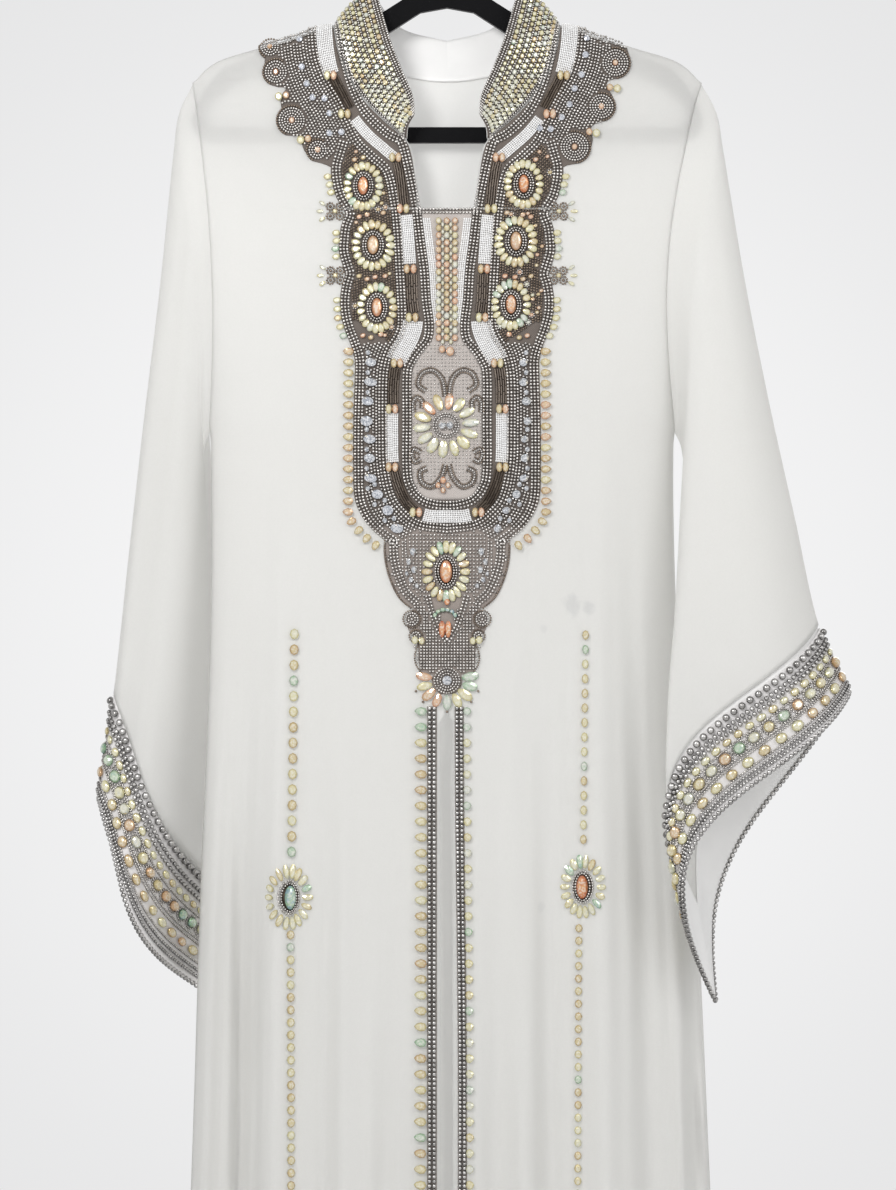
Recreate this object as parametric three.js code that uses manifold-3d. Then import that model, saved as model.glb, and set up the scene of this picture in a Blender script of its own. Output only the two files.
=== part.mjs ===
// A full-length white kaftan on a flat clothes hanger.
//
// Millimetres. +Z is up, +X is the viewer's right when facing the front, and the front faces -Y.
// The origin is the inside top of the hanger's hook, where a rail carries it.
//
// The garment is made the way it is sewn: two fronts joined at the centre down to a long slit, a back,
// a stand collar, two wide set-in sleeves with separate cuffs, and beaded panels laid over the fronts.
// Every cloth piece is a wall through sections, and every piece that lies on a front is made from the
// front's own points, moved outwards.

import * as THREE from "three";
import { mergeVertices } from "three/addons/utils/BufferGeometryUtils.js";
import Module from "manifold-3d";

const wasm = await Module();
wasm.setup();

// ---------------------------------------------------------------- driving sizes

const CLOTH = 1.2; // wall of the body and the sleeves
const COLLAR_WALL = 2.2;
const CUFF_WALL = 1.6;
const PANEL_WALL = 1.8; // beaded panels that lie on the fronts
const SEAM_GAP = 0.3;
const LIFT = 0.5; // clearance between a front and what lies on it

const HEM_Z = -1540;
const SHOULDER_TIP = { x: 210, z: -181 };
const UNDERARM_Z = -470;
const SHOULDER_ROLL = 22; // height over which the cloth turns down from the shoulder line
const LEVEL_Z = -240; // below this the sections are level
const NECK_POINT = { x: 93, z: -133 };
const KEYHOLE_FOOT_Z = -287.5;
const SLIT_TOP_Z = -702;
const SLIT_HALF = 6;
const ARMHOLE_DEPTH = 13; // how far the armhole's edge stands from the middle plane
const SLEEVE_ROUND = 0.65; // below 1 a sleeve's loop is flatter than an ellipse

// ---------------------------------------------------------------- tables

// The body's sections from the shoulders down. left and right are the side seams, front and back how far
// the cloth stands out at the middle, and leftShift and rightShift move the side seams forwards or back.
const BODY = [
  { z: -100, left: 210, right: 210, front: 15, back: 14, leftShift: 0, rightShift: 0 },
  { z: -240, left: 205, right: 205, front: 17, back: 16, leftShift: 0, rightShift: 0 },
  { z: -340, left: 197, right: 195, front: 24, back: 24, leftShift: 0, rightShift: 0 },
  { z: -470, left: 196, right: 188, front: 36, back: 33, leftShift: 0, rightShift: 0 },
  { z: -600, left: 195, right: 190, front: 43, back: 38, leftShift: -8, rightShift: 8 },
  { z: -720, left: 198, right: 197, front: 48, back: 42, leftShift: -12, rightShift: 14 },
  { z: -830, left: 203, right: 207, front: 52, back: 47, leftShift: -12, rightShift: 16 },
  { z: -1095, left: 212, right: 219, front: 60, back: 56, leftShift: -6, rightShift: 10 },
  { z: -1540, left: 232, right: 238, front: 76, back: 72, leftShift: 0, rightShift: 0 },
];

// Height of the shoulder line at a distance from the middle.
const SHOULDER = [
  { x: 0, z: -133 },
  { x: 93, z: -133 },
  { x: 125, z: -143 },
  { x: 158, z: -153 },
  { x: 187, z: -162 },
  { x: 200, z: -170 },
  { x: 210, z: -181 },
];

// The front neckline and keyhole: half the opening at each height.
const NECKLINE = [
  { z: -133, half: 93 },
  { z: -156, half: 89 },
  { z: -179, half: 81 },
  { z: -200, half: 66 },
  { z: -216, half: 50 },
  { z: -227, half: 37 },
  { z: -236, half: 30 },
  { z: -262, half: 25 },
  { z: -287, half: 23.5 },
];

// The lines down which each front falls, from the slit to the side: how far from the middle each one is at
// the top and at the hem, and the fold that runs down it. out is the fold's height at the hem (a ridge is
// positive, a trough negative), from where it begins and full where it has its whole depth.
const FRONT_LINES = {
  left: [
    { top: 24, hem: 24, out: 1, from: -800, full: -1300 },
    { top: 45, hem: 41, out: -9, from: -740, full: -1300 },
    { top: 66, hem: 64, out: 3, from: -740, full: -1300 },
    { top: 85, hem: 86, out: 5, from: -600, full: -1200 },
    { top: 104, hem: 105, out: -7, from: -560, full: -1250 },
    { top: 123, hem: 125, out: 0, from: -560, full: -1200 },
    { top: 140, hem: 146, out: 9, from: -420, full: -1100 },
    { top: 153, hem: 166, out: -3, from: -520, full: -1000 },
    { top: 166, hem: 184, out: -16, from: -560, full: -1000 },
    { top: 178, hem: 201, out: -9, from: -560, full: -1000 },
    { top: 188, hem: 217, out: 6, from: -620, full: -1100 },
  ],
  right: [
    { top: 24, hem: 24, out: 0, from: -800, full: -1300 },
    { top: 44, hem: 39, out: -11, from: -780, full: -1250 },
    { top: 66, hem: 62, out: 6, from: -760, full: -1200 },
    { top: 88, hem: 84, out: -8, from: -700, full: -1200 },
    { top: 111, hem: 105, out: -2, from: -700, full: -1200 },
    { top: 128, hem: 132, out: 9, from: -400, full: -1100 },
    { top: 142, hem: 154, out: 2, from: -500, full: -1100 },
    { top: 156, hem: 177, out: -11, from: -480, full: -1000 },
    { top: 167, hem: 196, out: -5, from: -560, full: -1000 },
    { top: 176, hem: 212, out: 7, from: -700, full: -1150 },
    { top: 184, hem: 227, out: 3, from: -800, full: -1200 },
  ],
};
const BACK_LINES = {
  left: [
    { top: 20, hem: 19, out: -14, from: -260, full: -1200 },
    { top: 44, hem: 44, out: 3, from: -300, full: -1200 },
    { top: 66, hem: 70, out: 9, from: -300, full: -1200 },
    { top: 88, hem: 94, out: -4, from: -380, full: -1150 },
    { top: 108, hem: 116, out: -13, from: -380, full: -1150 },
    { top: 126, hem: 138, out: 2, from: -440, full: -1050 },
    { top: 142, hem: 160, out: 10, from: -440, full: -1050 },
    { top: 158, hem: 182, out: -6, from: -560, full: -1150 },
    { top: 174, hem: 205, out: -12, from: -560, full: -1150 },
    { top: 186, hem: 220, out: 3, from: -560, full: -1150 },
  ],
  right: [
    { top: 14, hem: 12, out: 0, from: -300, full: -1200 },
    { top: 38, hem: 38, out: 10, from: -330, full: -1100 },
    { top: 60, hem: 62, out: -2, from: -330, full: -1100 },
    { top: 82, hem: 86, out: -12, from: -420, full: -1200 },
    { top: 102, hem: 110, out: 1, from: -380, full: -1150 },
    { top: 120, hem: 134, out: 9, from: -380, full: -1150 },
    { top: 137, hem: 158, out: -5, from: -480, full: -1050 },
    { top: 153, hem: 180, out: -14, from: -480, full: -1050 },
    { top: 168, hem: 202, out: 0, from: -560, full: -1050 },
    { top: 180, hem: 222, out: 6, from: -560, full: -1050 },
  ],
};

// The sleeves hang from the armholes. Each section is a loop through an outer point on the shoulder side and
// an inner point on the underarm seam. front and back are how far the loop stands out on each side of that
// line, and bow and backBow how far the two sides swing towards the body.
const RIGHT_SLEEVE = [
  { t: 0.0, outX: 210, outY: 0, outZ: -181, inX: 188, inY: 0, inZ: -470, front: 13, back: 13, bow: 17, backBow: 17 },
  { t: 0.06, outX: 223, outY: -1, outZ: -205, inX: 194, inY: -3, inZ: -484, front: 19, back: 17, bow: 16, backBow: 14 },
  { t: 0.15, outX: 229, outY: -3, outZ: -238, inX: 196, inY: -10, inZ: -516, front: 25, back: 21, bow: 13, backBow: 10 },
  { t: 0.32, outX: 246, outY: -8, outZ: -344, inX: 190, inY: -20, inZ: -592, front: 31, back: 24, bow: 17, backBow: 10 },
  { t: 0.52, outX: 266, outY: -16, outZ: -449, inX: 188, inY: -28, inZ: -682, front: 37, back: 25, bow: 29, backBow: 12 },
  { t: 0.7, outX: 286, outY: -24, outZ: -543, inX: 191, inY: -34, inZ: -772, front: 41, back: 26, bow: 47, backBow: 18 },
  { t: 0.86, outX: 305, outY: -31, outZ: -631, inX: 205, inY: -36, inZ: -865, front: 44, back: 28, bow: 66, backBow: 27 },
  { t: 1.0, outX: 330, outY: -36, outZ: -684, inX: 219, inY: -34, inZ: -939, front: 46, back: 32, bow: 71, backBow: 32 },
];
const LEFT_SLEEVE = [
  { t: 0.0, outX: 210, outY: 0, outZ: -181, inX: 196, inY: 0, inZ: -470, front: 13, back: 13, bow: 9, backBow: 9 },
  { t: 0.06, outX: 222, outY: 1, outZ: -205, inX: 201, inY: 6, inZ: -484, front: 19, back: 19, bow: 9, backBow: 9 },
  { t: 0.15, outX: 227, outY: 2, outZ: -238, inX: 203, inY: 18, inZ: -514, front: 23, back: 25, bow: 8, backBow: 10 },
  { t: 0.32, outX: 238, outY: 5, outZ: -344, inX: 196, inY: 40, inZ: -590, front: 25, back: 31, bow: 6, backBow: 12 },
  { t: 0.52, outX: 252, outY: 9, outZ: -457, inX: 188, inY: 52, inZ: -680, front: 29, back: 37, bow: 2, backBow: 14 },
  { t: 0.7, outX: 265, outY: 12, outZ: -570, inX: 184, inY: 60, inZ: -772, front: 35, back: 43, bow: -4, backBow: 14 },
  { t: 0.86, outX: 278, outY: 13, outZ: -688, inX: 184, inY: 64, inZ: -866, front: 44, back: 46, bow: -13, backBow: 12 },
  { t: 1.0, outX: 291, outY: 10, outZ: -774, inX: 197, inY: 54, inZ: -945, front: 50, back: 48, bow: -20, backBow: 8 },
];
// Long soft folds of the sleeves: place round the loop, where they begin, half width and height at the mouth.
const SLEEVE_FOLDS = {
  left: [
    { turn: 0.14, from: 0.1, width: 0.08, out: -7 },
    { turn: 0.26, from: 0.15, width: 0.08, out: 6 },
    { turn: 0.38, from: 0.1, width: 0.07, out: -7 },
    { turn: 0.66, from: 0.15, width: 0.09, out: -7 },
    { turn: 0.82, from: 0.2, width: 0.09, out: 6 },
  ],
  right: [
    { turn: 0.13, from: 0.1, width: 0.08, out: 5 },
    { turn: 0.24, from: 0.15, width: 0.08, out: -7 },
    { turn: 0.35, from: 0.1, width: 0.07, out: 5 },
    { turn: 0.64, from: 0.15, width: 0.09, out: 6 },
    { turn: 0.8, from: 0.2, width: 0.09, out: -7 },
  ],
};
const CUFF_START = 0.86; // share of the sleeve's length where the cuff is sewn on
const CUFF_SEAM = { left: 0.0007, right: 0.0035 }; // half the gap of that seam, wider where it turns sharply

// The stand collar from its front end round to the middle of the back: where it is sewn on (foot) and its
// free edge (top).
const COLLAR = [
  { t: 0.0, footX: 33, footZ: -230, topX: 27, topY: -25, topZ: -212 },
  { t: 0.08, footX: 48, footZ: -217, topX: 28, topY: -28, topZ: -196 },
  { t: 0.2, footX: 66, footZ: -200, topX: 37, topY: -28, topZ: -174 },
  { t: 0.34, footX: 81, footZ: -178, topX: 47, topY: -24, topZ: -147 },
  { t: 0.5, footX: 92.5, footZ: -133, topX: 60, topY: 0, topZ: -99 },
  { t: 0.64, footX: 82, footZ: -150, topX: 57, topY: 19, topZ: -110 },
  { t: 0.8, footX: 50, footZ: -168, topX: 38, topY: 29, topZ: -131 },
  { t: 1.0, footX: 0, footZ: -177, topX: 0, topY: 33, topZ: -141 },
];

// Outer edge of the beaded yoke, from the shoulder down, with its three scallops.
const YOKE_EDGE = [
  { z: -149, half: 152 },
  { z: -160, half: 155 },
  { z: -173, half: 153 },
  { z: -183, half: 137 },
  { z: -196, half: 142 },
  { z: -209, half: 139 },
  { z: -220, half: 124 },
  { z: -231, half: 125 },
  { z: -243, half: 120 },
  { z: -251, half: 106 },
  { z: -256, half: 90 },
  { z: -270, half: 86 },
  { z: -287, half: 78 },
];

// Half width of the beaded front panel, from the keyhole's foot to the top of the slit.
const PLASTRON_EDGE = [
  { z: -288.5, half: 77 },
  { z: -314, half: 84 },
  { z: -341, half: 73 },
  { z: -360, half: 82 },
  { z: -378, half: 78 },
  { z: -393, half: 70 },
  { z: -410, half: 70 },
  { z: -440, half: 72 },
  { z: -484, half: 72 },
  { z: -518, half: 67 },
  { z: -541, half: 57 },
  { z: -557, half: 51 },
  { z: -571, half: 51 },
  { z: -585, half: 48 },
  { z: -602, half: 39 },
  { z: -615, half: 28 },
  { z: -623, half: 34 },
  { z: -634, half: 33 },
  { z: -645, half: 26 },
  { z: -664, half: 24 },
];

// Raised oval and round motifs: centre, half width, half height and dome height.
const MEDALLIONS = [
  { name: "yoke_medallion_1", x: 66, z: -267, rx: 15.5, rz: 20, dome: 4, both: true },
  { name: "yoke_medallion_2", x: 59, z: -317, rx: 17, rz: 21, dome: 4, both: true },
  { name: "yoke_medallion_3", x: 54, z: -370, rx: 16.5, rz: 21.5, dome: 4, both: true },
  { name: "centre_medallion", x: 0, z: -468, rx: 25, rz: 25, dome: 5 },
  { name: "lower_medallion", x: 0, z: -586, rx: 19, rz: 26, dome: 4.5 },
  { name: "end_medallion", x: 0, z: -676, rx: 27, rz: 25, dome: 4 },
];
const SKIRT_MEDALLIONS = [
  { name: "skirt_medallion_left", x: -128, z: -850, rx: 20, rz: 29, dome: 4 },
  { name: "skirt_medallion_right", x: 112, z: -842, rx: 20, rz: 28, dome: 4 },
];

// The single lines of stones down each front, above and below the oval medallions.
const STONE_LINES = [
  { name: "stone_line_left_upper", top: -634, foot: -819, topX: -123, footX: -127, half: 3.5, rows: 8 },
  { name: "stone_line_left_lower", top: -881, foot: -1510, topX: -127, footX: -125, half: 3.5, rows: 18 },
  { name: "stone_line_right_upper", top: -638, foot: -812, topX: 114, footX: 112, half: 3.2, rows: 8 },
  { name: "stone_line_right_lower", top: -872, foot: -1510, topX: 112, footX: 105, half: 3.2, rows: 18 },
];
const SLIT_BORDER = { top: -708, foot: -1536, inner: 7.5, outer: 24 };

// ---------------------------------------------------------------- small maths

const lerp = (a, b, t) => a + (b - a) * t;
const clamp = (v, low, high) => Math.min(high, Math.max(low, v));
const ramp = (v) => {
  const t = clamp(v, 0, 1);
  return t * t * (3 - 2 * t);
};

// A smooth curve through one column of a table, read at a value of its key column.
function through(rows, key, column) {
  const falling = rows[0][key] > rows[rows.length - 1][key];
  const slope = (i) => {
    const before = rows[Math.max(0, i - 1)];
    const after = rows[Math.min(rows.length - 1, i + 1)];
    return (after[column] - before[column]) / (after[key] - before[key]);
  };
  return (value) => {
    let i = 0;
    while (i < rows.length - 2 && (falling ? value < rows[i + 1][key] : value > rows[i + 1][key])) i++;
    const a = rows[i];
    const b = rows[i + 1];
    const span = b[key] - a[key];
    const t = clamp((value - a[key]) / span, 0, 1);
    const t2 = t * t;
    const t3 = t2 * t;
    return (
      (2 * t3 - 3 * t2 + 1) * a[column] +
      (t3 - 2 * t2 + t) * span * slope(i) +
      (3 * t2 - 2 * t3) * b[column] +
      (t3 - t2) * span * slope(i + 1)
    );
  };
}

const steps = (count, make) => Array.from({ length: count + 1 }, (_, i) => make(i / count, i));

// ---------------------------------------------------------------- the body's surface

const shoulderAt = through(SHOULDER, "x", "z");
const neckAt = through(NECKLINE, "z", "half");
const frontAt = through(BODY, "z", "front");
const backAt = through(BODY, "z", "back");
const sideAt = { left: through(BODY, "z", "left"), right: through(BODY, "z", "right") };
const shiftAt = { left: through(BODY, "z", "leftShift"), right: through(BODY, "z", "rightShift") };
const SLEEVES = { left: LEFT_SLEEVE, right: RIGHT_SLEEVE };

const armholeShare = (z) => clamp((SHOULDER_TIP.z - z) / (SHOULDER_TIP.z - UNDERARM_Z), 0, 1);

// Distance from the middle to the armhole's edge, or to the side seam below it.
function edgeOf(side, z) {
  if (z < UNDERARM_Z) return sideAt[side](z);
  const first = SLEEVES[side][0];
  const s = armholeShare(z);
  return lerp(first.outX, first.inX, s) - first.bow * Math.sin(Math.PI * s);
}

// How far the armhole's edge stands from the middle plane.
const armholeDepth = (z) =>
  z < UNDERARM_Z ? 0 : ARMHOLE_DEPTH * Math.pow(Math.sin(Math.PI * armholeShare(z)), SLEEVE_ROUND);

// Where a falling line is at a height. The ones near the side keep clear of the panel's edge.
const LINES_TOP = -300;
const STEADY = 100; // lines nearer the middle than this keep their own places
function linePlace(lines, line, edge, z) {
  const f = (z - LINES_TOP) / (HEM_Z - LINES_TOP);
  const place = lerp(line.top, line.hem, f);
  if (place < STEADY) return place;
  const last = lines[lines.length - 1];
  const room = lerp(last.top, last.hem, f) + 12 - STEADY;
  return STEADY + ((place - STEADY) * (edge - STEADY)) / room;
}

const foldHeight = (line, z) => line.out * ramp((line.from - z) / (line.from - line.full));

// The folds' height at a place: it passes smoothly from each line's height to the next one's.
function foldAt(lines, distance, edge, z) {
  if (z > LINES_TOP) return 0;
  let before = { at: -lines[0].top, high: foldHeight(lines[0], z) };
  for (const line of lines) {
    const after = { at: linePlace(lines, line, edge, z), high: foldHeight(line, z) };
    if (distance < after.at) {
      return lerp(before.high, after.high, ramp((distance - before.at) / (after.at - before.at)));
    }
    before = after;
  }
  return lerp(before.high, 0, ramp((distance - before.at) / Math.max(1, edge - before.at)));
}

// A point of the outer surface of the front (facing -1) or the back (facing 1).
function bodyPoint(x, z, facing) {
  const side = x < 0 ? "left" : "right";
  const c = clamp(Math.abs(x) / edgeOf(side, z), 0, 1);
  const crown = (facing < 0 ? frontAt : backAt)(z);
  const edge = armholeDepth(z);
  const full = (crown - edge) * Math.pow(1 - Math.pow(c, 3), 0.5);
  const rolled = clamp((shoulderAt(Math.abs(x)) - z) / SHOULDER_ROLL, 0, 1);
  const roll = Math.sqrt(1 - (1 - rolled) ** 2);
  const fold = foldAt((facing < 0 ? FRONT_LINES : BACK_LINES)[side], Math.abs(x), edgeOf(side, z), z);
  const out = edge + full * roll + fold + SEAM_GAP / 2;
  return new THREE.Vector3(x, facing * out + shiftAt[side](z) * Math.pow(c, 3), z);
}

// The same surface's outward direction.
function bodyNormal(x, z, facing) {
  const d = 1.5;
  const across = bodyPoint(x + d, z, facing).sub(bodyPoint(x - d, z, facing));
  const down = bodyPoint(x, z - d, facing).sub(bodyPoint(x, z + d, facing));
  const n = across.cross(down).normalize();
  return n.y * facing < 0 ? n.negate() : n;
}

// A level between the shoulder and LEVEL_Z follows the slope of the shoulder line.
function sloped(level, x) {
  if (level < LEVEL_Z) return level;
  const top = shoulderAt(Math.abs(x));
  return lerp(LEVEL_Z, top, (level - LEVEL_Z) / (NECK_POINT.z - LEVEL_Z));
}

// ---------------------------------------------------------------- walls

// A closed solid from rows of outer points. Its inner face is moved in by wall, and round says that each
// row closes on itself. rise(i, j) raises single outer points and leaves the inside plain. seam(n, i, j)
// turns the wall's direction at an edge, so that two pieces meet without crossing. facing(i, j) gives the
// outward direction where the rows' own points would give a rough one.
function wallOf(rows, wall, { round = false, rise = null, flip = false, seam = null, facing = null } = {}) {
  const nr = rows.length;
  const nc = rows[0].length;
  const at = (i, j) => rows[clamp(i, 0, nr - 1)][round ? (j + nc) % nc : clamp(j, 0, nc - 1)];
  const outer = [];
  const inner = [];
  for (let i = 0; i < nr; i++)
    for (let j = 0; j < nc; j++) {
      const along = at(i, j + 1).clone().sub(at(i, j - 1));
      const down = at(i + 1, j).clone().sub(at(i - 1, j));
      const n = facing ? facing(i, j) : along.cross(down).normalize();
      if (flip && !facing) n.negate();
      if (seam) seam(n, i, j);
      n.normalize();
      const lift = rise ? rise(i, j) : 0;
      outer.push(at(i, j).clone().addScaledVector(n, lift));
      inner.push(at(i, j).clone().addScaledVector(n, -wall));
    }
  const points = [...outer, ...inner];
  const back = outer.length;
  const id = (i, j) => i * nc + (round ? j % nc : j);
  const index = [];
  const quad = (a, b, c, d) => index.push(a, b, c, a, c, d);
  const lastColumn = round ? nc : nc - 1;
  for (let i = 0; i < nr - 1; i++)
    for (let j = 0; j < lastColumn; j++) {
      const [a, b, c, d] = [id(i, j), id(i, j + 1), id(i + 1, j + 1), id(i + 1, j)];
      quad(a, b, c, d);
      quad(a + back, d + back, c + back, b + back);
    }
  for (let j = 0; j < lastColumn; j++) {
    const [a, b] = [id(0, j), id(0, j + 1)];
    quad(b, a, a + back, b + back);
    const [c, d] = [id(nr - 1, j), id(nr - 1, j + 1)];
    quad(c, d, d + back, c + back);
  }
  if (!round)
    for (let i = 0; i < nr - 1; i++) {
      const [a, b] = [id(i, 0), id(i + 1, 0)];
      quad(a, b, b + back, a + back);
      const [c, d] = [id(i, nc - 1), id(i + 1, nc - 1)];
      quad(d, c, c + back, d + back);
    }
  if (flip) index.reverse();
  const geometry = new THREE.BufferGeometry();
  geometry.setAttribute("position", new THREE.Float32BufferAttribute(points.flatMap((p) => p.toArray()), 3));
  geometry.setIndex(index);
  geometry.computeVertexNormals();
  return geometry;
}

// ---------------------------------------------------------------- materials

const finish = (color, roughness, metalness = 0) =>
  new THREE.MeshStandardMaterial({ color, roughness, metalness, side: THREE.DoubleSide });
const chiffon = finish(0xeeeee9, 0.75);
const beadwork = finish(0xa59a90, 0.4, 0.4);
const cuffBeads = finish(0xc9c1b6, 0.4, 0.3);
const stones = finish(0xd9c98c, 0.2, 0.2);
const velvet = finish(0x0b0b0c, 0.9);
const steel = finish(0xb8babd, 0.3, 1);

// ---------------------------------------------------------------- cloth pieces

// Levels of the rows. Down to the underarm, some of them meet the points of the sleeve's first loop.
const FRONT_LEVELS = [
  -133, -137, -143.6, -154, -164, -174.6, -184, -194, -204, -213.5, -223.5, -234, -250, -265.5, -286.5, -288.5,
  -304.9, -346.1, -385.5, -420.1, -447.1, -464.1, -470, -510, -570, -635, -697, -704, -712, -780, -860, -950, -1050,
  -1160, -1280, -1410, -1540,
];
const BACK_LEVELS = [
  -133, -137, -143.6, -157, -174.6, -198, -223.5, -265.5, -304.9, -346.1, -385.5, -420.1, -447.1, -464.1, -470, -510,
  -570, -635, -704, -780, -860, -950, -1050, -1160, -1280, -1410, -1540,
];

// Half the opening between the two fronts at a height: the neckline, the joined middle, then the slit.
function openingAt(z) {
  if (z > KEYHOLE_FOOT_Z) return neckAt(z);
  if (z > SLIT_TOP_Z) return SEAM_GAP / 2;
  return lerp(1, SLIT_HALF, ramp((SLIT_TOP_Z - z) / 10));
}

// Distances from the middle of a row's points: the inner edge, the falling lines, the outer edge.
function rowPlaces(side, lines, inner, outer, level) {
  if (level <= LINES_TOP) {
    return [inner, ...lines.map((line) => linePlace(lines, line, outer, level)), outer];
  }
  const edge = edgeOf(side, LINES_TOP);
  const share = (line) => linePlace(lines, line, edge, LINES_TOP) / edge;
  return [inner, ...lines.map((line) => lerp(inner, outer, share(line))), outer];
}

// At the shoulder and the side seams the wall stands in the seam's own plane.
function bodySeam(edges) {
  return (n, i, j) => {
    const { level, outerColumn, innerColumn } = edges(i, j);
    const z = sloped(level, SHOULDER_TIP.x);
    if (i === 0) n.y = 0;
    if (innerColumn) n.x = 0;
    if (outerColumn && z > UNDERARM_Z + 1) n.x = 0;
    else if (outerColumn) n.set(Math.sign(n.x) || 1, 0, 0);
    if (n.lengthSq() < 1e-6) n.set(0, 0, 1);
  };
}

function frontRows(side) {
  const sign = side === "left" ? -1 : 1;
  return FRONT_LEVELS.map((level) => {
    const outer = edgeOf(side, sloped(level, SHOULDER_TIP.x));
    const places = rowPlaces(side, FRONT_LINES[side], openingAt(level), outer, level);
    return places.map((x) => bodyPoint(sign * x, sloped(level, x), -1));
  });
}
const FRONT_ROWS = { left: frontRows("left"), right: frontRows("right") };

function frontPanel(side) {
  const last = FRONT_LINES[side].length + 1;
  const seam = bodySeam((i, j) => ({
    level: FRONT_LEVELS[i],
    innerColumn: j === 0,
    outerColumn: j === last,
  }));
  return wallOf(FRONT_ROWS[side], CLOTH, { flip: side === "right", seam });
}

// The back's neckline dips in a shallow curve between the neck points.
const BACK_NECK_DROP = 44;
const backNeckDip = (x) => BACK_NECK_DROP * Math.pow(Math.max(0, 1 - (x / NECK_POINT.x) ** 2), 0.6);

function backRow(level) {
  const half = (side) => {
    const z = sloped(level, SHOULDER_TIP.x);
    return rowPlaces(side, BACK_LINES[side], 0, edgeOf(side, z), level);
  };
  const left = half("left").slice(1).reverse().map((x) => -x);
  const fade = ramp((level + 330) / 197);
  return [...left, ...half("right")].map((x) =>
    bodyPoint(x, sloped(level, x) - backNeckDip(Math.min(Math.abs(x), NECK_POINT.x)) * fade, 1),
  );
}
const BACK_ROWS = BACK_LEVELS.map(backRow);

function backPanel() {
  const last = BACK_ROWS[0].length - 1;
  const seam = bodySeam((i, j) => ({
    level: BACK_LEVELS[i],
    innerColumn: false,
    outerColumn: j === 0 || j === last,
  }));
  return wallOf(BACK_ROWS, CLOTH, { seam });
}

// The front cloth at a place, read off the front's own faces, and moved outwards.
function onFront(x, z, out) {
  const rows = FRONT_ROWS[x < 0 ? "left" : "right"];
  const flat = (p, q) => (q.x - p.x) * (z - p.z) - (q.z - p.z) * (x - p.x);
  const inTriangle = (a, b, c) => {
    const area = (b.x - a.x) * (c.z - a.z) - (b.z - a.z) * (c.x - a.x);
    const [u, v, w] = [flat(b, c) / area, flat(c, a) / area, flat(a, b) / area];
    if (Math.min(u, v, w) < -1e-4) return null;
    return new THREE.Vector3(x, a.y * u + b.y * v + c.y * w, z);
  };
  for (let i = 0; i < rows.length - 1; i++)
    for (let j = 0; j < rows[i].length - 1; j++) {
      const [a, b, c, d] = [rows[i][j], rows[i][j + 1], rows[i + 1][j + 1], rows[i + 1][j]];
      const found = inTriangle(a, b, c) || inTriangle(a, c, d);
      if (found) return found.addScaledVector(bodyNormal(x, z, -1), out);
    }
  return bodyPoint(x, z, -1).addScaledVector(bodyNormal(x, z, -1), out);
}

function sleeveFold(side, t, turn) {
  return SLEEVE_FOLDS[side].reduce((sum, fold) => {
    const off = Math.abs(turn - fold.turn) / fold.width;
    return off > 1 ? sum : sum + fold.out * ramp((t - fold.from) / (1 - fold.from)) * ramp(1 - off);
  }, 0);
}

// One point of a sleeve's loop: t along the sleeve, turn from 0 to 1 round it, starting at the outer point.
function sleevePoint(side, t, turn) {
  const rows = SLEEVES[side];
  const value = (column) => through(rows, "t", column)(t);
  const angle = turn * 2 * Math.PI;
  const s = (1 - Math.cos(angle)) / 2;
  const inFront = turn <= 0.5;
  const skew = lerp(1, 0.78, ramp(t * 3)); // the loop is deepest nearer the shoulder side
  const stand = Math.pow(Math.sin(Math.PI * Math.pow(s, skew)), lerp(SLEEVE_ROUND, 0.8, t));
  const x0 = value("outX");
  const z0 = value("outZ");
  const dx = value("inX") - x0;
  const dz = value("inZ") - z0;
  const length = Math.hypot(dx, dz);
  const bow = value(inFront ? "bow" : "backBow") * Math.sin(Math.PI * Math.pow(s, 1 + 0.45 * t));
  const out = stand * value(inFront ? "front" : "back") + sleeveFold(side, t, turn);
  const y = lerp(value("outY"), value("inY"), s) + (inFront ? -out : out);
  const apart = SEAM_GAP * Math.max(0, 1 - t * 20);
  const tilt = Math.min(1, t * 10); // the first loop bows straight towards the body
  const x = x0 + dx * s + lerp(-1, dz / length, tilt) * bow + apart;
  const z = z0 + dz * s - (dx / length) * bow * tilt;
  return new THREE.Vector3(side === "left" ? -x : x, y, z);
}

function sleeveNormal(side, t, turn) {
  const from = Math.max(0, t - 0.01);
  const down = sleevePoint(side, t + 0.01, turn).sub(sleevePoint(side, from, turn));
  const round = sleevePoint(side, t, (turn + 0.02) % 1).sub(sleevePoint(side, t, (turn + 0.98) % 1));
  const n = round.cross(down).normalize();
  return side === "right" ? n : n.negate();
}

function sleeveTube(side, from, to, rings, around, wall, rise) {
  const at = (i) => lerp(from, to, i / rings);
  const rows = steps(rings, (_, i) => steps(around - 1, (__, j) => sleevePoint(side, at(i), j / around)));
  const seam = (n, i) => {
    if (i === 0 && from === 0) n.x = 0;
  };
  const facing = (i, j) => sleeveNormal(side, at(i), j / around);
  return wallOf(rows, wall, { round: true, flip: side === "left", rise, seam, facing });
}

// Pearls stand up along the cuff's two edges.
const CUFF_RINGS = 6;
const cuffRise = (i) => (i === 0 || i === CUFF_RINGS ? 0.4 : i === CUFF_RINGS - 1 ? 3 : i === 1 ? 1.6 : 1);

// A place on a run of points where one of its coordinates has a given value.
function alongRun(points, key, value) {
  for (let i = 0; i < points.length - 1; i++) {
    const [a, b] = [points[i], points[i + 1]];
    const f = (value - a[key]) / (b[key] - a[key]);
    if (f >= 0 && f <= 1) return a.clone().lerp(b, f);
  }
  return points[points.length - 1].clone();
}

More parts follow.
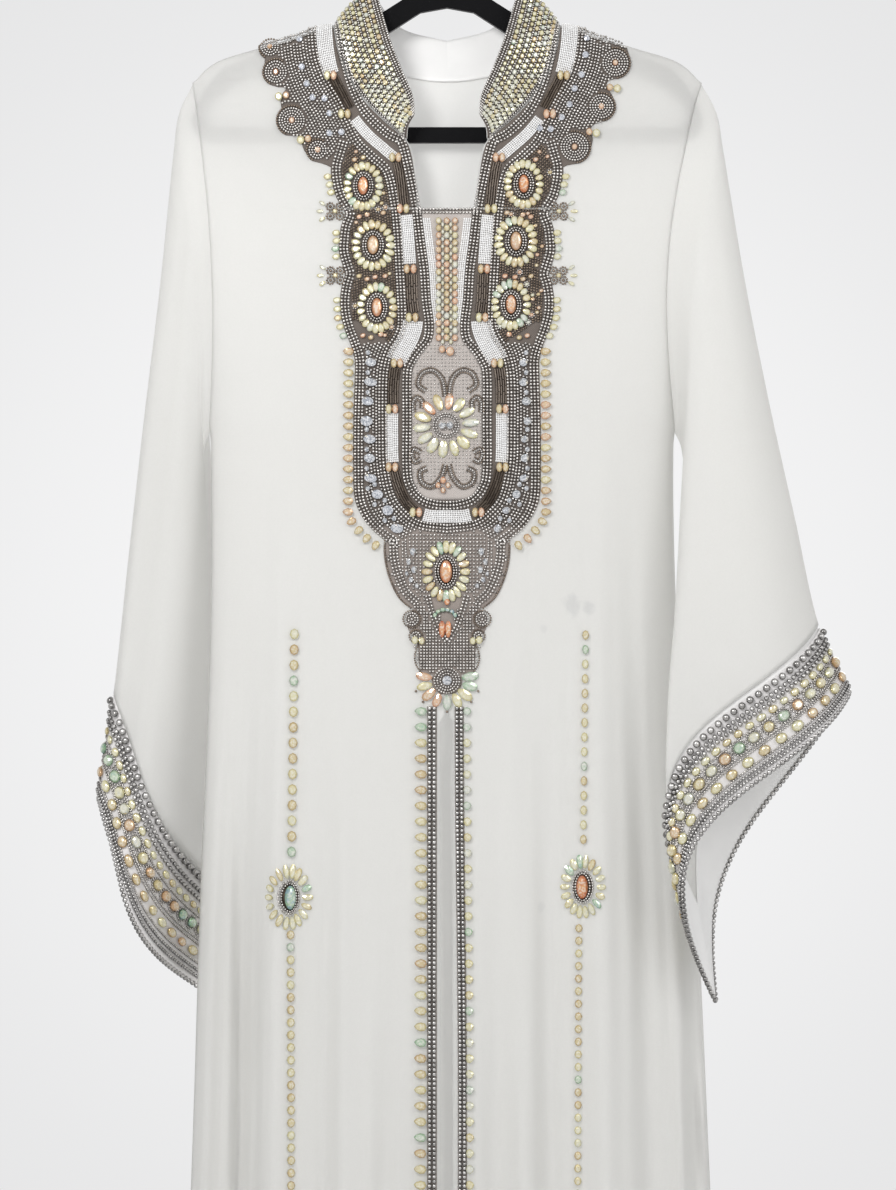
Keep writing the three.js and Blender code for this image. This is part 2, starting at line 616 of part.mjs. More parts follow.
// The collar's foot stands just inside the neckline of the fronts and the back.
const FRONT_NECK = FRONT_ROWS.right.map((row) => row[0]).filter((p) => p.z > KEYHOLE_FOOT_Z);
const BACK_NECK = BACK_ROWS[0].filter((p) => p.x >= 0 && p.x < NECK_POINT.x + 20);
function collarFoot(t) {
  if (t <= 0.5) {
    const foot = alongRun(FRONT_NECK, "z", through(COLLAR, "t", "footZ")(t));
    return foot.setX(foot.x - 2 * SEAM_GAP);
  }
  const foot = alongRun(BACK_NECK, "x", through(COLLAR, "t", "footX")(t));
  return foot.setZ(foot.z + 3 * SEAM_GAP);
}

function collarTop(t) {
  const value = (column) => through(COLLAR, "t", column)(t);
  return new THREE.Vector3(value("topX"), value("topY"), value("topZ"));
}

function collarBand() {
  const half = 13;
  const whole = (place) => {
    const row = steps(half, place);
    const mirrored = row.map((p) => new THREE.Vector3(-p.x, p.y, p.z));
    return [...mirrored, ...row.reverse().slice(1)];
  };
  const foot = whole(collarFoot);
  const top = whole(collarTop);
  const rows = steps(4, (f) =>
    foot.map((p, j) => {
      const q = p.clone().lerp(top[j], f);
      const away = new THREE.Vector3(p.x, p.y - 4, 0).normalize();
      return q.addScaledVector(away, 2.5 * Math.sin(Math.PI * f));
    }),
  );
  const seam = (n, i) => {
    if (i === 0) n.z = 0;
  };
  return wallOf(rows, COLLAR_WALL, { flip: true, seam });
}

// ---------------------------------------------------------------- pieces that lie on the fronts

// A panel between an inner and an outer edge, each a distance from the middle at a height.
function laidPanel(levels, innerOf, outerOf, columns, wall, sign = 1) {
  const rows = levels.map((z) => {
    const row = steps(columns, (f) => {
      const x = lerp(innerOf(z), outerOf(z), f);
      return onFront(sign * x, z, LIFT + wall);
    });
    return sign > 0 ? row : row.reverse();
  });
  return wallOf(rows, wall, { flip: true });
}

function yoke(sign) {
  const edge = through(YOKE_EDGE, "z", "half");
  const levels = [-137, ...FRONT_LEVELS.filter((level) => level < -137 && level > KEYHOLE_FOOT_Z)];
  const rows = levels.map((level) => {
    const inner = neckAt(level) + 1.5;
    let outer = 120;
    for (let k = 0; k < 12; k++) outer = lerp(outer, edge(Math.min(-149, sloped(level, outer))), 0.6);
    const row = steps(6, (f) => {
      const x = lerp(inner, outer, f);
      return onFront(sign * x, sloped(level, x), LIFT + 0.1 + PANEL_WALL);
    });
    return sign > 0 ? row : row.reverse();
  });
  return wallOf(rows, PANEL_WALL, { flip: true });
}

function plastron() {
  const edge = through(PLASTRON_EDGE, "z", "half");
  const levels = PLASTRON_EDGE.map((row) => row.z);
  return laidPanel(levels, (z) => -edge(z), edge, 10, PANEL_WALL);
}

// A strip that follows a line down the front.
function strip({ top, foot, inner, outer, count }) {
  const levels = steps(count, (f) => lerp(top, foot, f));
  return (sign) => laidPanel(levels, () => inner, () => outer, 2, PANEL_WALL, sign);
}

function stoneLine({ top, foot, topX, footX, half, rows: count }) {
  const rows = steps(count, (f) => {
    const z = lerp(top, foot, f);
    const x = lerp(topX, footX, f);
    return steps(2, (g) => onFront(x + (g - 0.5) * 2 * half, z, LIFT + PANEL_WALL + (g === 0.5 ? 1 : 0)));
  });
  return wallOf(rows, PANEL_WALL, { flip: true });
}

// A low dome that stands on a panel or on the cloth: rings of points over the same patch of the front.
function dome({ x, z, rx, rz, dome: height }, base) {
  const around = 16;
  const levels = [
    { r: 0.35, h: 0 },
    { r: 0.7, h: 0 },
    { r: 1, h: 0 },
    { r: 1, h: 0.35 },
    { r: 0.62, h: 0.72 },
    { r: 0.3, h: 1 },
  ];
  const points = [onFront(x, z, base)];
  const ring = (r, h) => {
    for (let j = 0; j < around; j++) {
      const a = (j / around) * 2 * Math.PI;
      points.push(onFront(x + rx * r * Math.cos(a), z + rz * r * Math.sin(a), base + height * h));
    }
  };
  levels.forEach(({ r, h }) => ring(r, h));
  points.push(onFront(x, z, base + height));
  const index = [];
  const id = (level, j) => 1 + level * around + (j % around);
  for (let j = 0; j < around; j++) {
    index.push(0, id(0, j + 1), id(0, j));
    for (let k = 0; k < levels.length - 1; k++) {
      index.push(id(k, j), id(k + 1, j + 1), id(k + 1, j));
      index.push(id(k, j), id(k, j + 1), id(k + 1, j + 1));
    }
    index.push(id(levels.length - 1, j), id(levels.length - 1, j + 1), points.length - 1);
  }
  const geometry = new THREE.BufferGeometry();
  geometry.setAttribute("position", new THREE.Float32BufferAttribute(points.flatMap((p) => p.toArray()), 3));
  geometry.setIndex(index);
  geometry.computeVertexNormals();
  return geometry;
}

// ---------------------------------------------------------------- the hanger

const HANGER = { thick: 5.5, end: 213, barTop: -218, barFoot: -231, socketTop: -92, socketHalf: 9 };
const HOOK = { wire: 2, radius: 20, stemFoot: -107 };

function toSolid(geometry) {
  const bare = geometry.clone();
  bare.deleteAttribute("normal");
  bare.deleteAttribute("uv");
  const merged = mergeVertices(bare, 1e-4);
  return new wasm.Manifold(
    new wasm.Mesh({
      numProp: 3,
      vertProperties: merged.attributes.position.array,
      triVerts: new Uint32Array(merged.index.array),
    }),
  );
}

function toGeometry(solid) {
  const mesh = solid.getMesh();
  const geometry = new THREE.BufferGeometry();
  geometry.setAttribute("position", new THREE.BufferAttribute(new Float32Array(mesh.vertProperties), 3));
  geometry.setIndex(new THREE.BufferAttribute(new Uint32Array(mesh.triVerts), 1));
  return geometry;
}

// A flat plate: sloping arms under the shoulders, rounded ends, a bar across and an arch in the middle.
function hangerPlate() {
  const under = CLOTH + 3; // the arms' top lies this far below the shoulder line
  const right = [
    [HANGER.socketHalf, -97],
    [30, -108],
    [60, -127],
    [78, -140],
    [93, -146],
    [110, -148],
    [125, shoulderAt(125) - under - 1],
    [158, shoulderAt(158) - under - 1],
    [185, shoulderAt(185) - under - 3],
    [199, -184],
    [205, -196],
    [HANGER.end - 1, -210],
    [HANGER.end - 2, -220],
    [HANGER.end - 8, -228],
    [HANGER.end - 20, HANGER.barFoot],
  ].map(([x, z]) => new THREE.Vector2(x, z));
  const left = right.map((p) => new THREE.Vector2(-p.x, p.y)).reverse();
  const outline = new THREE.Shape();
  const top = [
    new THREE.Vector2(-HANGER.socketHalf, HANGER.socketTop),
    new THREE.Vector2(HANGER.socketHalf, HANGER.socketTop),
  ];
  outline.setFromPoints([...top, ...right, ...left].reverse());
  const window = [
    [0, -119],
    [22, -123],
    [50, -141],
    [72, -156],
    [93, -162],
    [125, -165],
    [160, -176],
    [182, -188],
    [194, -200],
    [198, -210],
    [193, HANGER.barTop],
  ].map(([x, z]) => new THREE.Vector2(x, z));
  const mirrored = window.slice(1).map((p) => new THREE.Vector2(-p.x, p.y)).reverse();
  const hole = new THREE.Path();
  hole.setFromPoints([...window, ...mirrored]);
  outline.holes.push(hole);
  const plate = new THREE.ExtrudeGeometry(outline, { depth: HANGER.thick, bevelEnabled: false });
  plate.rotateX(Math.PI / 2);
  plate.translate(0, HANGER.thick / 2, 0);
  return plate;
}

function hookWire() {
  const { wire, radius, stemFoot } = HOOK;
  const middle = wire - radius; // the wire's centre line passes wire above the origin
  const arc = steps(12, (f) => {
    const a = lerp(0, 1.16 * Math.PI, f);
    return new THREE.Vector3(radius * Math.cos(a), 0, middle + radius * Math.sin(a));
  });
  const path = new THREE.CatmullRomCurve3([
    new THREE.Vector3(0, 0, stemFoot),
    new THREE.Vector3(0, 0, stemFoot + 20),
    new THREE.Vector3(0, 0, stemFoot + 40),
    new THREE.Vector3(5, 0, middle - 30),
    new THREE.Vector3(15, 0, middle - 15),
    ...arc,
  ]);
  const section = new THREE.Shape();
  section.absarc(0, 0, wire, 0, 2 * Math.PI, false);
  return new THREE.ExtrudeGeometry(section, { steps: 30, extrudePath: path, curveSegments: 5 });
}

// The wire goes down into a socket in the middle of the hanger.
function hangerBody() {
  const plate = toSolid(hangerPlate());
  const block = new THREE.CylinderGeometry(6.5, 6.5, 18, 20);
  block.rotateX(Math.PI / 2);
  block.translate(0, 0, HANGER.socketTop - 8);
  const bore = new THREE.CylinderGeometry(HOOK.wire + SEAM_GAP, HOOK.wire + SEAM_GAP, 30, 16);
  bore.rotateX(Math.PI / 2);
  bore.translate(0, 0, HOOK.stemFoot + 15 - SEAM_GAP);
  return toGeometry(plate.add(toSolid(block)).subtract(toSolid(bore)));
}

// ---------------------------------------------------------------- assembly

const kaftan = new THREE.Group();
function add(name, geometry, material) {
  const mesh = new THREE.Mesh(geometry, material);
  mesh.name = name;
  kaftan.add(mesh);
}

add("hanger", hangerBody(), velvet);
add("hanger_hook", hookWire(), steel);
add("back", backPanel(), chiffon);
add("collar", collarBand(), beadwork);
add("plastron", plastron(), beadwork);
for (const [side, sign] of [["left", -1], ["right", 1]]) {
  add(`front_${side}`, frontPanel(side), chiffon);
  add(`yoke_${side}`, yoke(sign), beadwork);
  add(`sleeve_${side}`, sleeveTube(side, 0, CUFF_START - CUFF_SEAM[side], 15, 22, CLOTH, null), chiffon);
  const cuffTop = CUFF_START + CUFF_SEAM[side];
  add(`cuff_${side}`, sleeveTube(side, cuffTop, 1, CUFF_RINGS, 22, CUFF_WALL, cuffRise), cuffBeads);
  add(`slit_border_${side}`, strip({ ...SLIT_BORDER, count: 28 })(sign), beadwork);
}
for (const line of STONE_LINES) add(line.name, stoneLine(line), stones);
for (const motif of MEDALLIONS) {
  const base = 2 * LIFT + PANEL_WALL;
  const places = motif.both ? [["_left", -1], ["_right", 1]] : [["", 1]];
  for (const [suffix, sign] of places)
    add(motif.name + suffix, dome({ ...motif, x: sign * motif.x }, base), stones);
}
for (const motif of SKIRT_MEDALLIONS) add(motif.name, dome(motif, 2.2), stones);

export default kaftan;
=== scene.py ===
import math
import random
from functools import lru_cache

import bmesh
import bpy
from mathutils import Matrix, Vector, noise


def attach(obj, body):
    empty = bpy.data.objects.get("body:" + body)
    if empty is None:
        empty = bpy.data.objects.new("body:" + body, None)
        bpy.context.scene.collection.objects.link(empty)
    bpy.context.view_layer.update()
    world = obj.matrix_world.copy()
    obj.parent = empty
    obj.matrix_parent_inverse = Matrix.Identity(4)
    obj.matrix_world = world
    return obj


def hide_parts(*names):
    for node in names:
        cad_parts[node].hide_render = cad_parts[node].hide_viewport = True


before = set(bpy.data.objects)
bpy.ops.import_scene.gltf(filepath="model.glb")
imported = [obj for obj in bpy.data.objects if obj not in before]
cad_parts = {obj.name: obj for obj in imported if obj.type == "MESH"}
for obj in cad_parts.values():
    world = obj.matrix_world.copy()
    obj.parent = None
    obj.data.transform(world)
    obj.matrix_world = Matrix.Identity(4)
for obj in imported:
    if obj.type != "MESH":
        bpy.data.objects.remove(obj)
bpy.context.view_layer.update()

bl_info = {
    "name": "Beaded kaftan on a hanger",
    "version": (1, 0, 0),
    "blender": (4, 5, 0),
    "location": "3D View > Sidebar > Kaftan",
    "description": "Dresses the kaftan's fixed frame in sheer cloth, beadwork and stones",
    "category": "Object",
}

# Sizes are in millimetres, as on the maker's table, and become metres where points are placed.
MM = 0.001


# ---------------------------------------------------------------- tables


def table(columns, *rows):
    """Rows of a table, each read by its columns' names."""
    names = columns.split()
    return [dict(zip(names, row)) for row in rows]


SEAM_GAP = 0.3  # between two pieces of cloth that meet
UNDERLAP = 1.3  # how far the body's cloth reaches under the sleeve's at the armhole
HEM_Z = -1540
SHOULDER_TIP = (210, -181)
UNDERARM_Z = -470
SHOULDER_ROLL = 22  # how far below its top line the shoulder's cloth has rounded over
LEVEL_Z = -240  # rows of cloth slope with the shoulder above this height
NECK_X, NECK_Z = 93, -133
KEYHOLE_FOOT_Z = -287.5
SLIT_TOP_Z = -702
SLIT_HALF = 6
PIPING = 1.5  # the right front's turned edge shows beside its beads
ARMHOLE_DEPTH = 13
SLEEVE_ROUND = 0.65
LINES_TOP = -300  # the folds are measured from here to the hem
STEADY = 100  # folds nearer to the middle than this don't follow the side edge
BACK_NECK_DROP = 44  # how far the back's neckline dips in the middle
DIP_END_Z = -330  # the back's levels are straight again from here down
CUFF_START = 0.86  # a share of the sleeve's length
CUFF_SEAM = {"left": 0.0007, "right": 0.0035}

# Sections of the body from the shoulders down.
BODY = table(
    "z left right front back left_shift right_shift",
    (-100, 210, 210, 15, 14, 0, 0),
    (-240, 205, 205, 17, 16, 0, 0),
    (-340, 197, 195, 24, 24, 0, 0),
    (-470, 196, 188, 36, 33, 0, 0),
    (-600, 195, 190, 43, 38, -8, 8),
    (-720, 198, 197, 48, 42, -12, 14),
    (-830, 203, 207, 52, 47, -12, 16),
    (-1095, 212, 219, 60, 56, -6, 10),
    (-1540, 232, 238, 76, 72, 0, 0),
)
SHOULDER = table(
    "x z", (0, -133), (93, -133), (125, -143), (158, -153), (187, -162), (200, -170), (210, -181)
)
NECKLINE = table(
    "z half", (-133, 93), (-156, 89), (-179, 81), (-200, 66), (-216, 50), (-227, 37), (-236, 30),
    (-262, 25), (-287, 23.5),
)
# Lines down which the cloth falls, from the middle to the side: place at the top and at the hem, how far
# the fold on it stands out at the hem, where it begins and where it has its whole depth.
LINE = "top hem out from full"
FRONT_LINES = {
    "left": table(
        LINE, (24, 24, 1, -800, -1300), (45, 41, -9, -740, -1300), (66, 64, 3, -740, -1300),
        (85, 86, 5, -600, -1200), (104, 105, -7, -560, -1250), (123, 125, 0, -560, -1200),
        (140, 146, 9, -420, -1100), (153, 166, -3, -520, -1000), (166, 184, -16, -560, -1000),
        (178, 201, -9, -560, -1000), (188, 217, 6, -620, -1100),
    ),
    "right": table(
        LINE, (24, 24, 0, -800, -1300), (44, 39, -11, -780, -1250), (66, 62, 6, -760, -1200),
        (88, 84, -8, -700, -1200), (111, 105, -2, -700, -1200), (128, 132, 9, -400, -1100),
        (142, 154, 2, -500, -1100), (156, 177, -11, -480, -1000), (167, 196, -5, -560, -1000),
        (176, 212, 7, -700, -1150), (184, 227, 3, -800, -1200),
    ),
}
BACK_LINES = {
    "left": table(
        LINE, (20, 19, -14, -260, -1200), (44, 44, 3, -300, -1200), (66, 70, 9, -300, -1200),
        (88, 94, -4, -380, -1150), (108, 116, -13, -380, -1150), (126, 138, 2, -440, -1050),
        (142, 160, 10, -440, -1050), (158, 182, -6, -560, -1150), (174, 205, -12, -560, -1150),
        (186, 220, 3, -560, -1150),
    ),
    "right": table(
        LINE, (14, 12, 0, -300, -1200), (38, 38, 10, -330, -1100), (60, 62, -2, -330, -1100),
        (82, 86, -12, -420, -1200), (102, 110, 1, -380, -1150), (120, 134, 9, -380, -1150),
        (137, 158, -5, -480, -1050), (153, 180, -14, -480, -1050), (168, 202, 0, -560, -1050),
        (180, 222, 6, -560, -1050),
    ),
}
# Creases of the front (-1) and the back (1): place at the top and at the hem, half the width, the width of
# each steep side, how far out (a valley is negative), where each begins and where it has its whole depth.
CREASE = "top hem half side out from full"
CREASES = {
    -1: table(
        CREASE, (-160, -168, 13, 4.5, -14, -760, -1000), (197, 206, 9, 5, -10, -860, -1040),
        (79, 84, 12, 10, -3.5, -640, -900), (-94, -98, 11, 9, -3.5, -700, -950),
        (-52, -54, 9, 8, -2.5, -860, -1150),
    ),
    1: table(
        CREASE, (-112, -120, 12, 7, -7, -620, -950), (64, 68, 13, 8, -7, -560, -900),
        (148, 160, 10, 7, -6, -800, -1050), (-30, -32, 10, 9, -4, -700, -1000),
    ),
}
SIDES = (("left", -1), ("right", 1))
SLEEVE = "t out_x out_y out_z in_x in_y in_z front back bow back_bow"
SLEEVES = {
    "right": table(
        SLEEVE,
        (0.0, 210, 0, -181, 188, 0, -470, 13, 13, 17, 17),
        (0.06, 223, -1, -205, 194, -3, -484, 19, 17, 16, 14),
        (0.15, 229, -3, -238, 196, -10, -516, 25, 21, 13, 10),
        (0.32, 246, -8, -344, 190, -20, -592, 31, 24, 17, 10),
        (0.52, 266, -16, -449, 188, -28, -682, 37, 25, 29, 12),
        (0.7, 286, -24, -543, 191, -34, -772, 41, 26, 47, 18),
        (0.86, 305, -31, -631, 205, -36, -865, 44, 28, 66, 27),
        (1.0, 330, -36, -684, 219, -34, -939, 46, 32, 71, 32),
    ),
    "left": table(
        SLEEVE,
        (0.0, 210, 0, -181, 196, 0, -470, 13, 13, 9, 9),
        (0.06, 222, 1, -205, 201, 6, -484, 19, 19, 9, 9),
        (0.15, 227, 2, -238, 203, 18, -514, 23, 25, 8, 10),
        (0.32, 238, 5, -344, 196, 40, -590, 25, 31, 6, 12),
        (0.52, 252, 9, -457, 188, 52, -680, 29, 37, 2, 14),
        (0.7, 265, 12, -570, 184, 60, -772, 35, 43, -4, 14),
        (0.86, 278, 13, -688, 184, 64, -866, 44, 46, -13, 12),
        (1.0, 291, 10, -774, 197, 54, -945, 50, 48, -20, 8),
    ),
}
SLEEVE_FOLDS = {
    "left": table(
        "turn from width out", (0.14, 0.1, 0.08, -7), (0.26, 0.15, 0.08, 6), (0.38, 0.1, 0.07, -7),
        (0.66, 0.15, 0.09, -7), (0.82, 0.2, 0.09, 6),
    ),
    "right": table(
        "turn from width out", (0.13, 0.1, 0.08, 5), (0.24, 0.15, 0.08, -7), (0.35, 0.1, 0.07, 5),
        (0.64, 0.15, 0.09, 6), (0.8, 0.2, 0.09, -7),
    ),
}
COLLAR = table(
    "t foot_x foot_z top_x top_y top_z",
    (0.0, 33, -230, 27, -25, -212),
    (0.08, 48, -217, 28, -28, -196),
    (0.2, 66, -200, 37, -28, -174),
    (0.34, 81, -178, 47, -24, -147),
    (0.5, 92.5, -133, 60, 0, -99),
    (0.64, 82, -150, 57, 19, -110),
    (0.8, 50, -168, 38, 29, -131),
    (1.0, 0, -177, 0, 33, -141),
)
YOKE_EDGE = table(
    "z half", (-149, 152), (-160, 155), (-173, 153), (-183, 137), (-196, 142), (-209, 139),
    (-220, 124), (-231, 125), (-243, 120), (-251, 106), (-256, 90), (-270, 86), (-287, 78),
)
PLASTRON_EDGE = table(
    "z half", (-288.5, 77), (-314, 84), (-341, 73), (-360, 82), (-378, 78), (-393, 70), (-410, 70),
    (-440, 72), (-484, 72), (-518, 67), (-541, 57), (-557, 51), (-571, 51), (-585, 48), (-602, 39),
    (-615, 28), (-623, 34), (-634, 33), (-645, 26), (-664, 24),
)

# ---------------------------------------------------------------- small maths


def lerp(a, b, t):
    return a + (b - a) * t


def clamp(v):
    return min(1.0, max(0.0, v))


def ramp(v):
    t = clamp(v)
    return t * t * (3 - 2 * t)


def through(rows, key, column):
    """A smooth curve through one column of a table, read at a value of its key column."""
    keys = [row[key] for row in rows]
    values = [row[column] for row in rows]
    last = len(rows) - 1
    falling = keys[0] > keys[-1]

    def slope(i):
        a, b = max(0, i - 1), min(last, i + 1)
        return (values[b] - values[a]) / (keys[b] - keys[a])

    slopes = [slope(i) for i in range(last + 1)]

    @lru_cache(maxsize=None)
    def read(value):
        i = 0
        while i < last - 1 and (value < keys[i + 1] if falling else value > keys[i + 1]):
            i += 1
        span = keys[i + 1] - keys[i]
        t = clamp((value - keys[i]) / span)
        t2, t3 = t * t, t * t * t
        return (
            (2 * t3 - 3 * t2 + 1) * values[i]
            + (t3 - 2 * t2 + t) * span * slopes[i]
            + (3 * t2 - 2 * t3) * values[i + 1]
            + (t3 - t2) * span * slopes[i + 1]
        )

    return read


# ---------------------------------------------------------------- the garment's surfaces

shoulder_at = through(SHOULDER, "x", "z")
neck_at = through(NECKLINE, "z", "half")
crown_at = {-1: through(BODY, "z", "front"), 1: through(BODY, "z", "back")}
side_at = {side: through(BODY, "z", side) for side in ("left", "right")}
shift_at = {side: through(BODY, "z", side + "_shift") for side in ("left", "right")}
LINES = {-1: FRONT_LINES, 1: BACK_LINES}


def armhole_share(z):
    return clamp((SHOULDER_TIP[1] - z) / (SHOULDER_TIP[1] - UNDERARM_Z))


def edge_of(side, z):
    """Distance from the middle to the armhole's edge, or to the side seam below it."""
    if z < UNDERARM_Z:
        return side_at[side](z)
    first = SLEEVES[side][0]
    s = armhole_share(z)
    return lerp(first["out_x"], first["in_x"], s) - first["bow"] * math.sin(math.pi * s)


def armhole_depth(z):
    if z < UNDERARM_Z:
        return 0
    return ARMHOLE_DEPTH * math.sin(math.pi * armhole_share(z)) ** SLEEVE_ROUND


def line_place(lines, line, edge, z):
    f = (z - LINES_TOP) / (HEM_Z - LINES_TOP)
    place = lerp(line["top"], line["hem"], f)
    if place < STEADY:
        return place
    room = lerp(lines[-1]["top"], lines[-1]["hem"], f) + 12 - STEADY
    return STEADY + (place - STEADY) * (edge - STEADY) / room


@lru_cache(maxsize=None)
def section(side, z, facing):
    """Everything that one level of the body needs: its edge, depths, shift and the folds across it."""
    edge = edge_of(side, z)
    folds = []
    if z <= LINES_TOP:
        lines = LINES[facing][side]
        for line in lines:
            high = line["out"] * ramp((line["from"] - z) / (line["from"] - line["full"]))
            folds.append((line_place(lines, line, edge, z), high))
        folds.insert(0, (-lines[0]["top"], folds[0][1]))
    return edge, crown_at[facing](z), armhole_depth(z), shift_at[side](z), folds


def fold_at(folds, distance, edge):
    if not folds:
        return 0
    for (a, high), (b, next_high) in zip(folds, folds[1:]):
        if distance < b:
            return lerp(high, next_high, ramp((distance - a) / (b - a)))
    a, high = folds[-1]
    return lerp(high, 0, ramp((distance - a) / max(1, edge - a)))


def ripple(x, z, facing):
    """Slight uneven waves of the hanging cloth, long in the fall of the cloth and narrow across it."""
    grown = 0.25 + 0.75 * ramp((-320 - z) / 700)
    wide = noise.noise(Vector((x * 0.021, z * 0.0016, 3.7 + facing)))
    narrow = noise.noise(Vector((x * 0.062, z * 0.0034, 9.1 + facing)))
    fine = noise.noise(Vector((x * 0.16, z * 0.009, 5.3 - facing)))
    return grown * (3.2 * wide + 1.3 * narrow + 0.3 * fine)


def crease_at(x, z, facing):
    """The main creases: narrow valleys with steep sides, deeper on the way down."""
    total = 0
    for crease in CREASES[facing]:
        f = (LINES_TOP - z) / (LINES_TOP - HEM_Z)
        off = abs(x - lerp(crease["top"], crease["hem"], f))
        if off < crease["half"]:
            grown = ramp((crease["from"] - z) / (crease["from"] - crease["full"]))
            total += crease["out"] * grown * ramp((crease["half"] - off) / crease["side"])
    return total


def body_point(x, z, facing):
    """A point of the outer surface of the front (facing -1) or the back (facing 1)."""
    side = "left" if x < 0 else "right"
    edge, crown, depth, shift, folds = section(side, round(z, 2), facing)
    distance = abs(x)
    c = clamp(distance / edge)
    full = (crown - depth) * math.sqrt(1 - c**3)
    rolled = clamp((shoulder_at(round(distance, 2)) - z) / SHOULDER_ROLL)
    roll = math.sqrt(1 - (1 - rolled) ** 2)
    out = depth + full * roll + fold_at(folds, distance, edge) + SEAM_GAP / 2
    out += ripple(x, z, facing) * roll * (1 - c**6) + crease_at(x, z, facing)
    return Vector((x, facing * out + shift * c**3, z))


def sloped(level, x):
    """A level between the shoulder and LEVEL_Z follows the slope of the shoulder line."""
    if level < LEVEL_Z:
        return level
    return lerp(LEVEL_Z, shoulder_at(round(abs(x), 2)), (level - LEVEL_Z) / (NECK_Z - LEVEL_Z))


def back_neck_dip(x):
    return BACK_NECK_DROP * max(0, 1 - (x / NECK_X) ** 2) ** 0.6


def opening_at(z):
    if z > KEYHOLE_FOOT_Z:
        return neck_at(z)
    if z > SLIT_TOP_Z:
        return SEAM_GAP / 2
    return lerp(1, SLIT_HALF, ramp((SLIT_TOP_Z - z) / 10))


def sleeve_fold(side, t, turn):
    total = 0
    for fold in SLEEVE_FOLDS[side]:
        off = abs(turn - fold["turn"]) / fold["width"]
        if off < 1:
            total += fold["out"] * ramp((t - fold["from"]) / (1 - fold["from"])) * ramp(1 - off)
    return total


SLEEVE_AT = {
    side: {column: through(rows, "t", column) for column in SLEEVE.split()[1:]}
    for side, rows in SLEEVES.items()
}


def sleeve_point(side, t, turn):
    """A point of a sleeve's loop: t along the sleeve, turn from 0 to 1 round it from the outer point."""
    at = SLEEVE_AT[side]
    key = round(t, 4)
    s = (1 - math.cos(turn * 2 * math.pi)) / 2
    in_front = turn <= 0.5
    skew = lerp(1, 0.78, ramp(t * 3))
    stand = max(0, math.sin(math.pi * s**skew)) ** lerp(SLEEVE_ROUND, 0.8, t)
    x0, z0 = at["out_x"](key), at["out_z"](key)
    dx, dz = at["in_x"](key) - x0, at["in_z"](key) - z0
    length = math.hypot(dx, dz)
    bow = at["bow" if in_front else "back_bow"](key) * math.sin(math.pi * s ** (1 + 0.45 * t))
    out = stand * at["front" if in_front else "back"](key) + sleeve_fold(side, t, turn)
    wave = noise.noise(Vector((turn * 8, t * 1.2, 2.2 if side == "left" else 6.8)))
    fine = noise.noise(Vector((turn * 24, t * 2.6, 4.1)))
    out += (2.6 * wave + 0.8 * fine) * ramp(t * 4) * stand * (1 - 0.7 * ramp((t - 0.8) * 8))
    y = lerp(at["out_y"](key), at["in_y"](key), s) + (-out if in_front else out)
    tilt = min(1, t * 10)
    x = x0 + dx * s + lerp(-1, dz / length, tilt) * bow + SEAM_GAP * max(0, 1 - t * 20)
    z = z0 + dz * s - (dx / length) * bow * tilt
    return Vector((-x if side == "left" else x, y, z))


COLLAR_AT = {column: through(COLLAR, "t", column) for column in COLLAR[0] if column != "t"}


def collar_point(u, f):
    """The stand collar: u from -1 at the left end, round the back, to 1 at the right; f up from the seam."""
    t = clamp(1 - (math.hypot(u, 0.07) - 0.07) / (math.hypot(1, 0.07) - 0.07))
    if t <= 0.5:
        z = COLLAR_AT["foot_z"](t)
        foot = body_point(neck_at(z), z, -1) - Vector((2 * SEAM_GAP, 0, 0))
    else:
        x = COLLAR_AT["foot_x"](t)
        z = shoulder_at(round(x, 2)) - back_neck_dip(min(x, NECK_X))
        foot = body_point(x, z, 1) + Vector((0, 0, 3 * SEAM_GAP))
    top = Vector([COLLAR_AT[name](t) for name in ("top_x", "top_y", "top_z")])
    away = Vector((foot.x, foot.y - 4, 0)).normalized()
    point = foot.lerp(top, f) + away * 2.5 * math.sin(math.pi * clamp(f))
    return Vector((-point.x if u < 0 else point.x, point.y, point.z))


class Surface:
    """A surface of the garment that cloth and beads are laid on: a point for two numbers and its outside."""

    def __init__(self, point, du, dv, sign):
        self.point, self.du, self.dv, self.sign = point, du, dv, sign

    def normal(self, u, v):
        across = self.point(u + self.du, v) - self.point(u - self.du, v)
        down = self.point(u, v + self.dv) - self.point(u, v - self.dv)
        return across.cross(down).normalized() * self.sign

    def place(self, u, v, lift):
        point = self.point(u, v)
        return point + self.normal(u, v) * lift if lift else point


FRONT = Surface(lambda x, z: body_point(x, z, -1), 1.5, 1.5, 1)
COLLAR_BAND = Surface(collar_point, 0.004, 0.02, -1)
SLEEVE_TUBE = {
    side: Surface(lambda t, turn, side=side: sleeve_point(side, clamp(t), turn % 1), 0.004, 0.006, sign)
    for side, sign in (("left", 1), ("right", -1))
}


# ---------------------------------------------------------------- pieces of cloth


def as_piece(name, mesh, look, slot):
    """Makes a mesh a piece that rides on the body and takes the finish named by its look; the slot is not
    used.
    """
    piece = bpy.data.objects.new(name, mesh)
    mesh.materials.clear()
    mesh.materials.append(look_of(look))
    bpy.context.scene.collection.objects.link(piece)
    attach(piece, "root")
    return piece


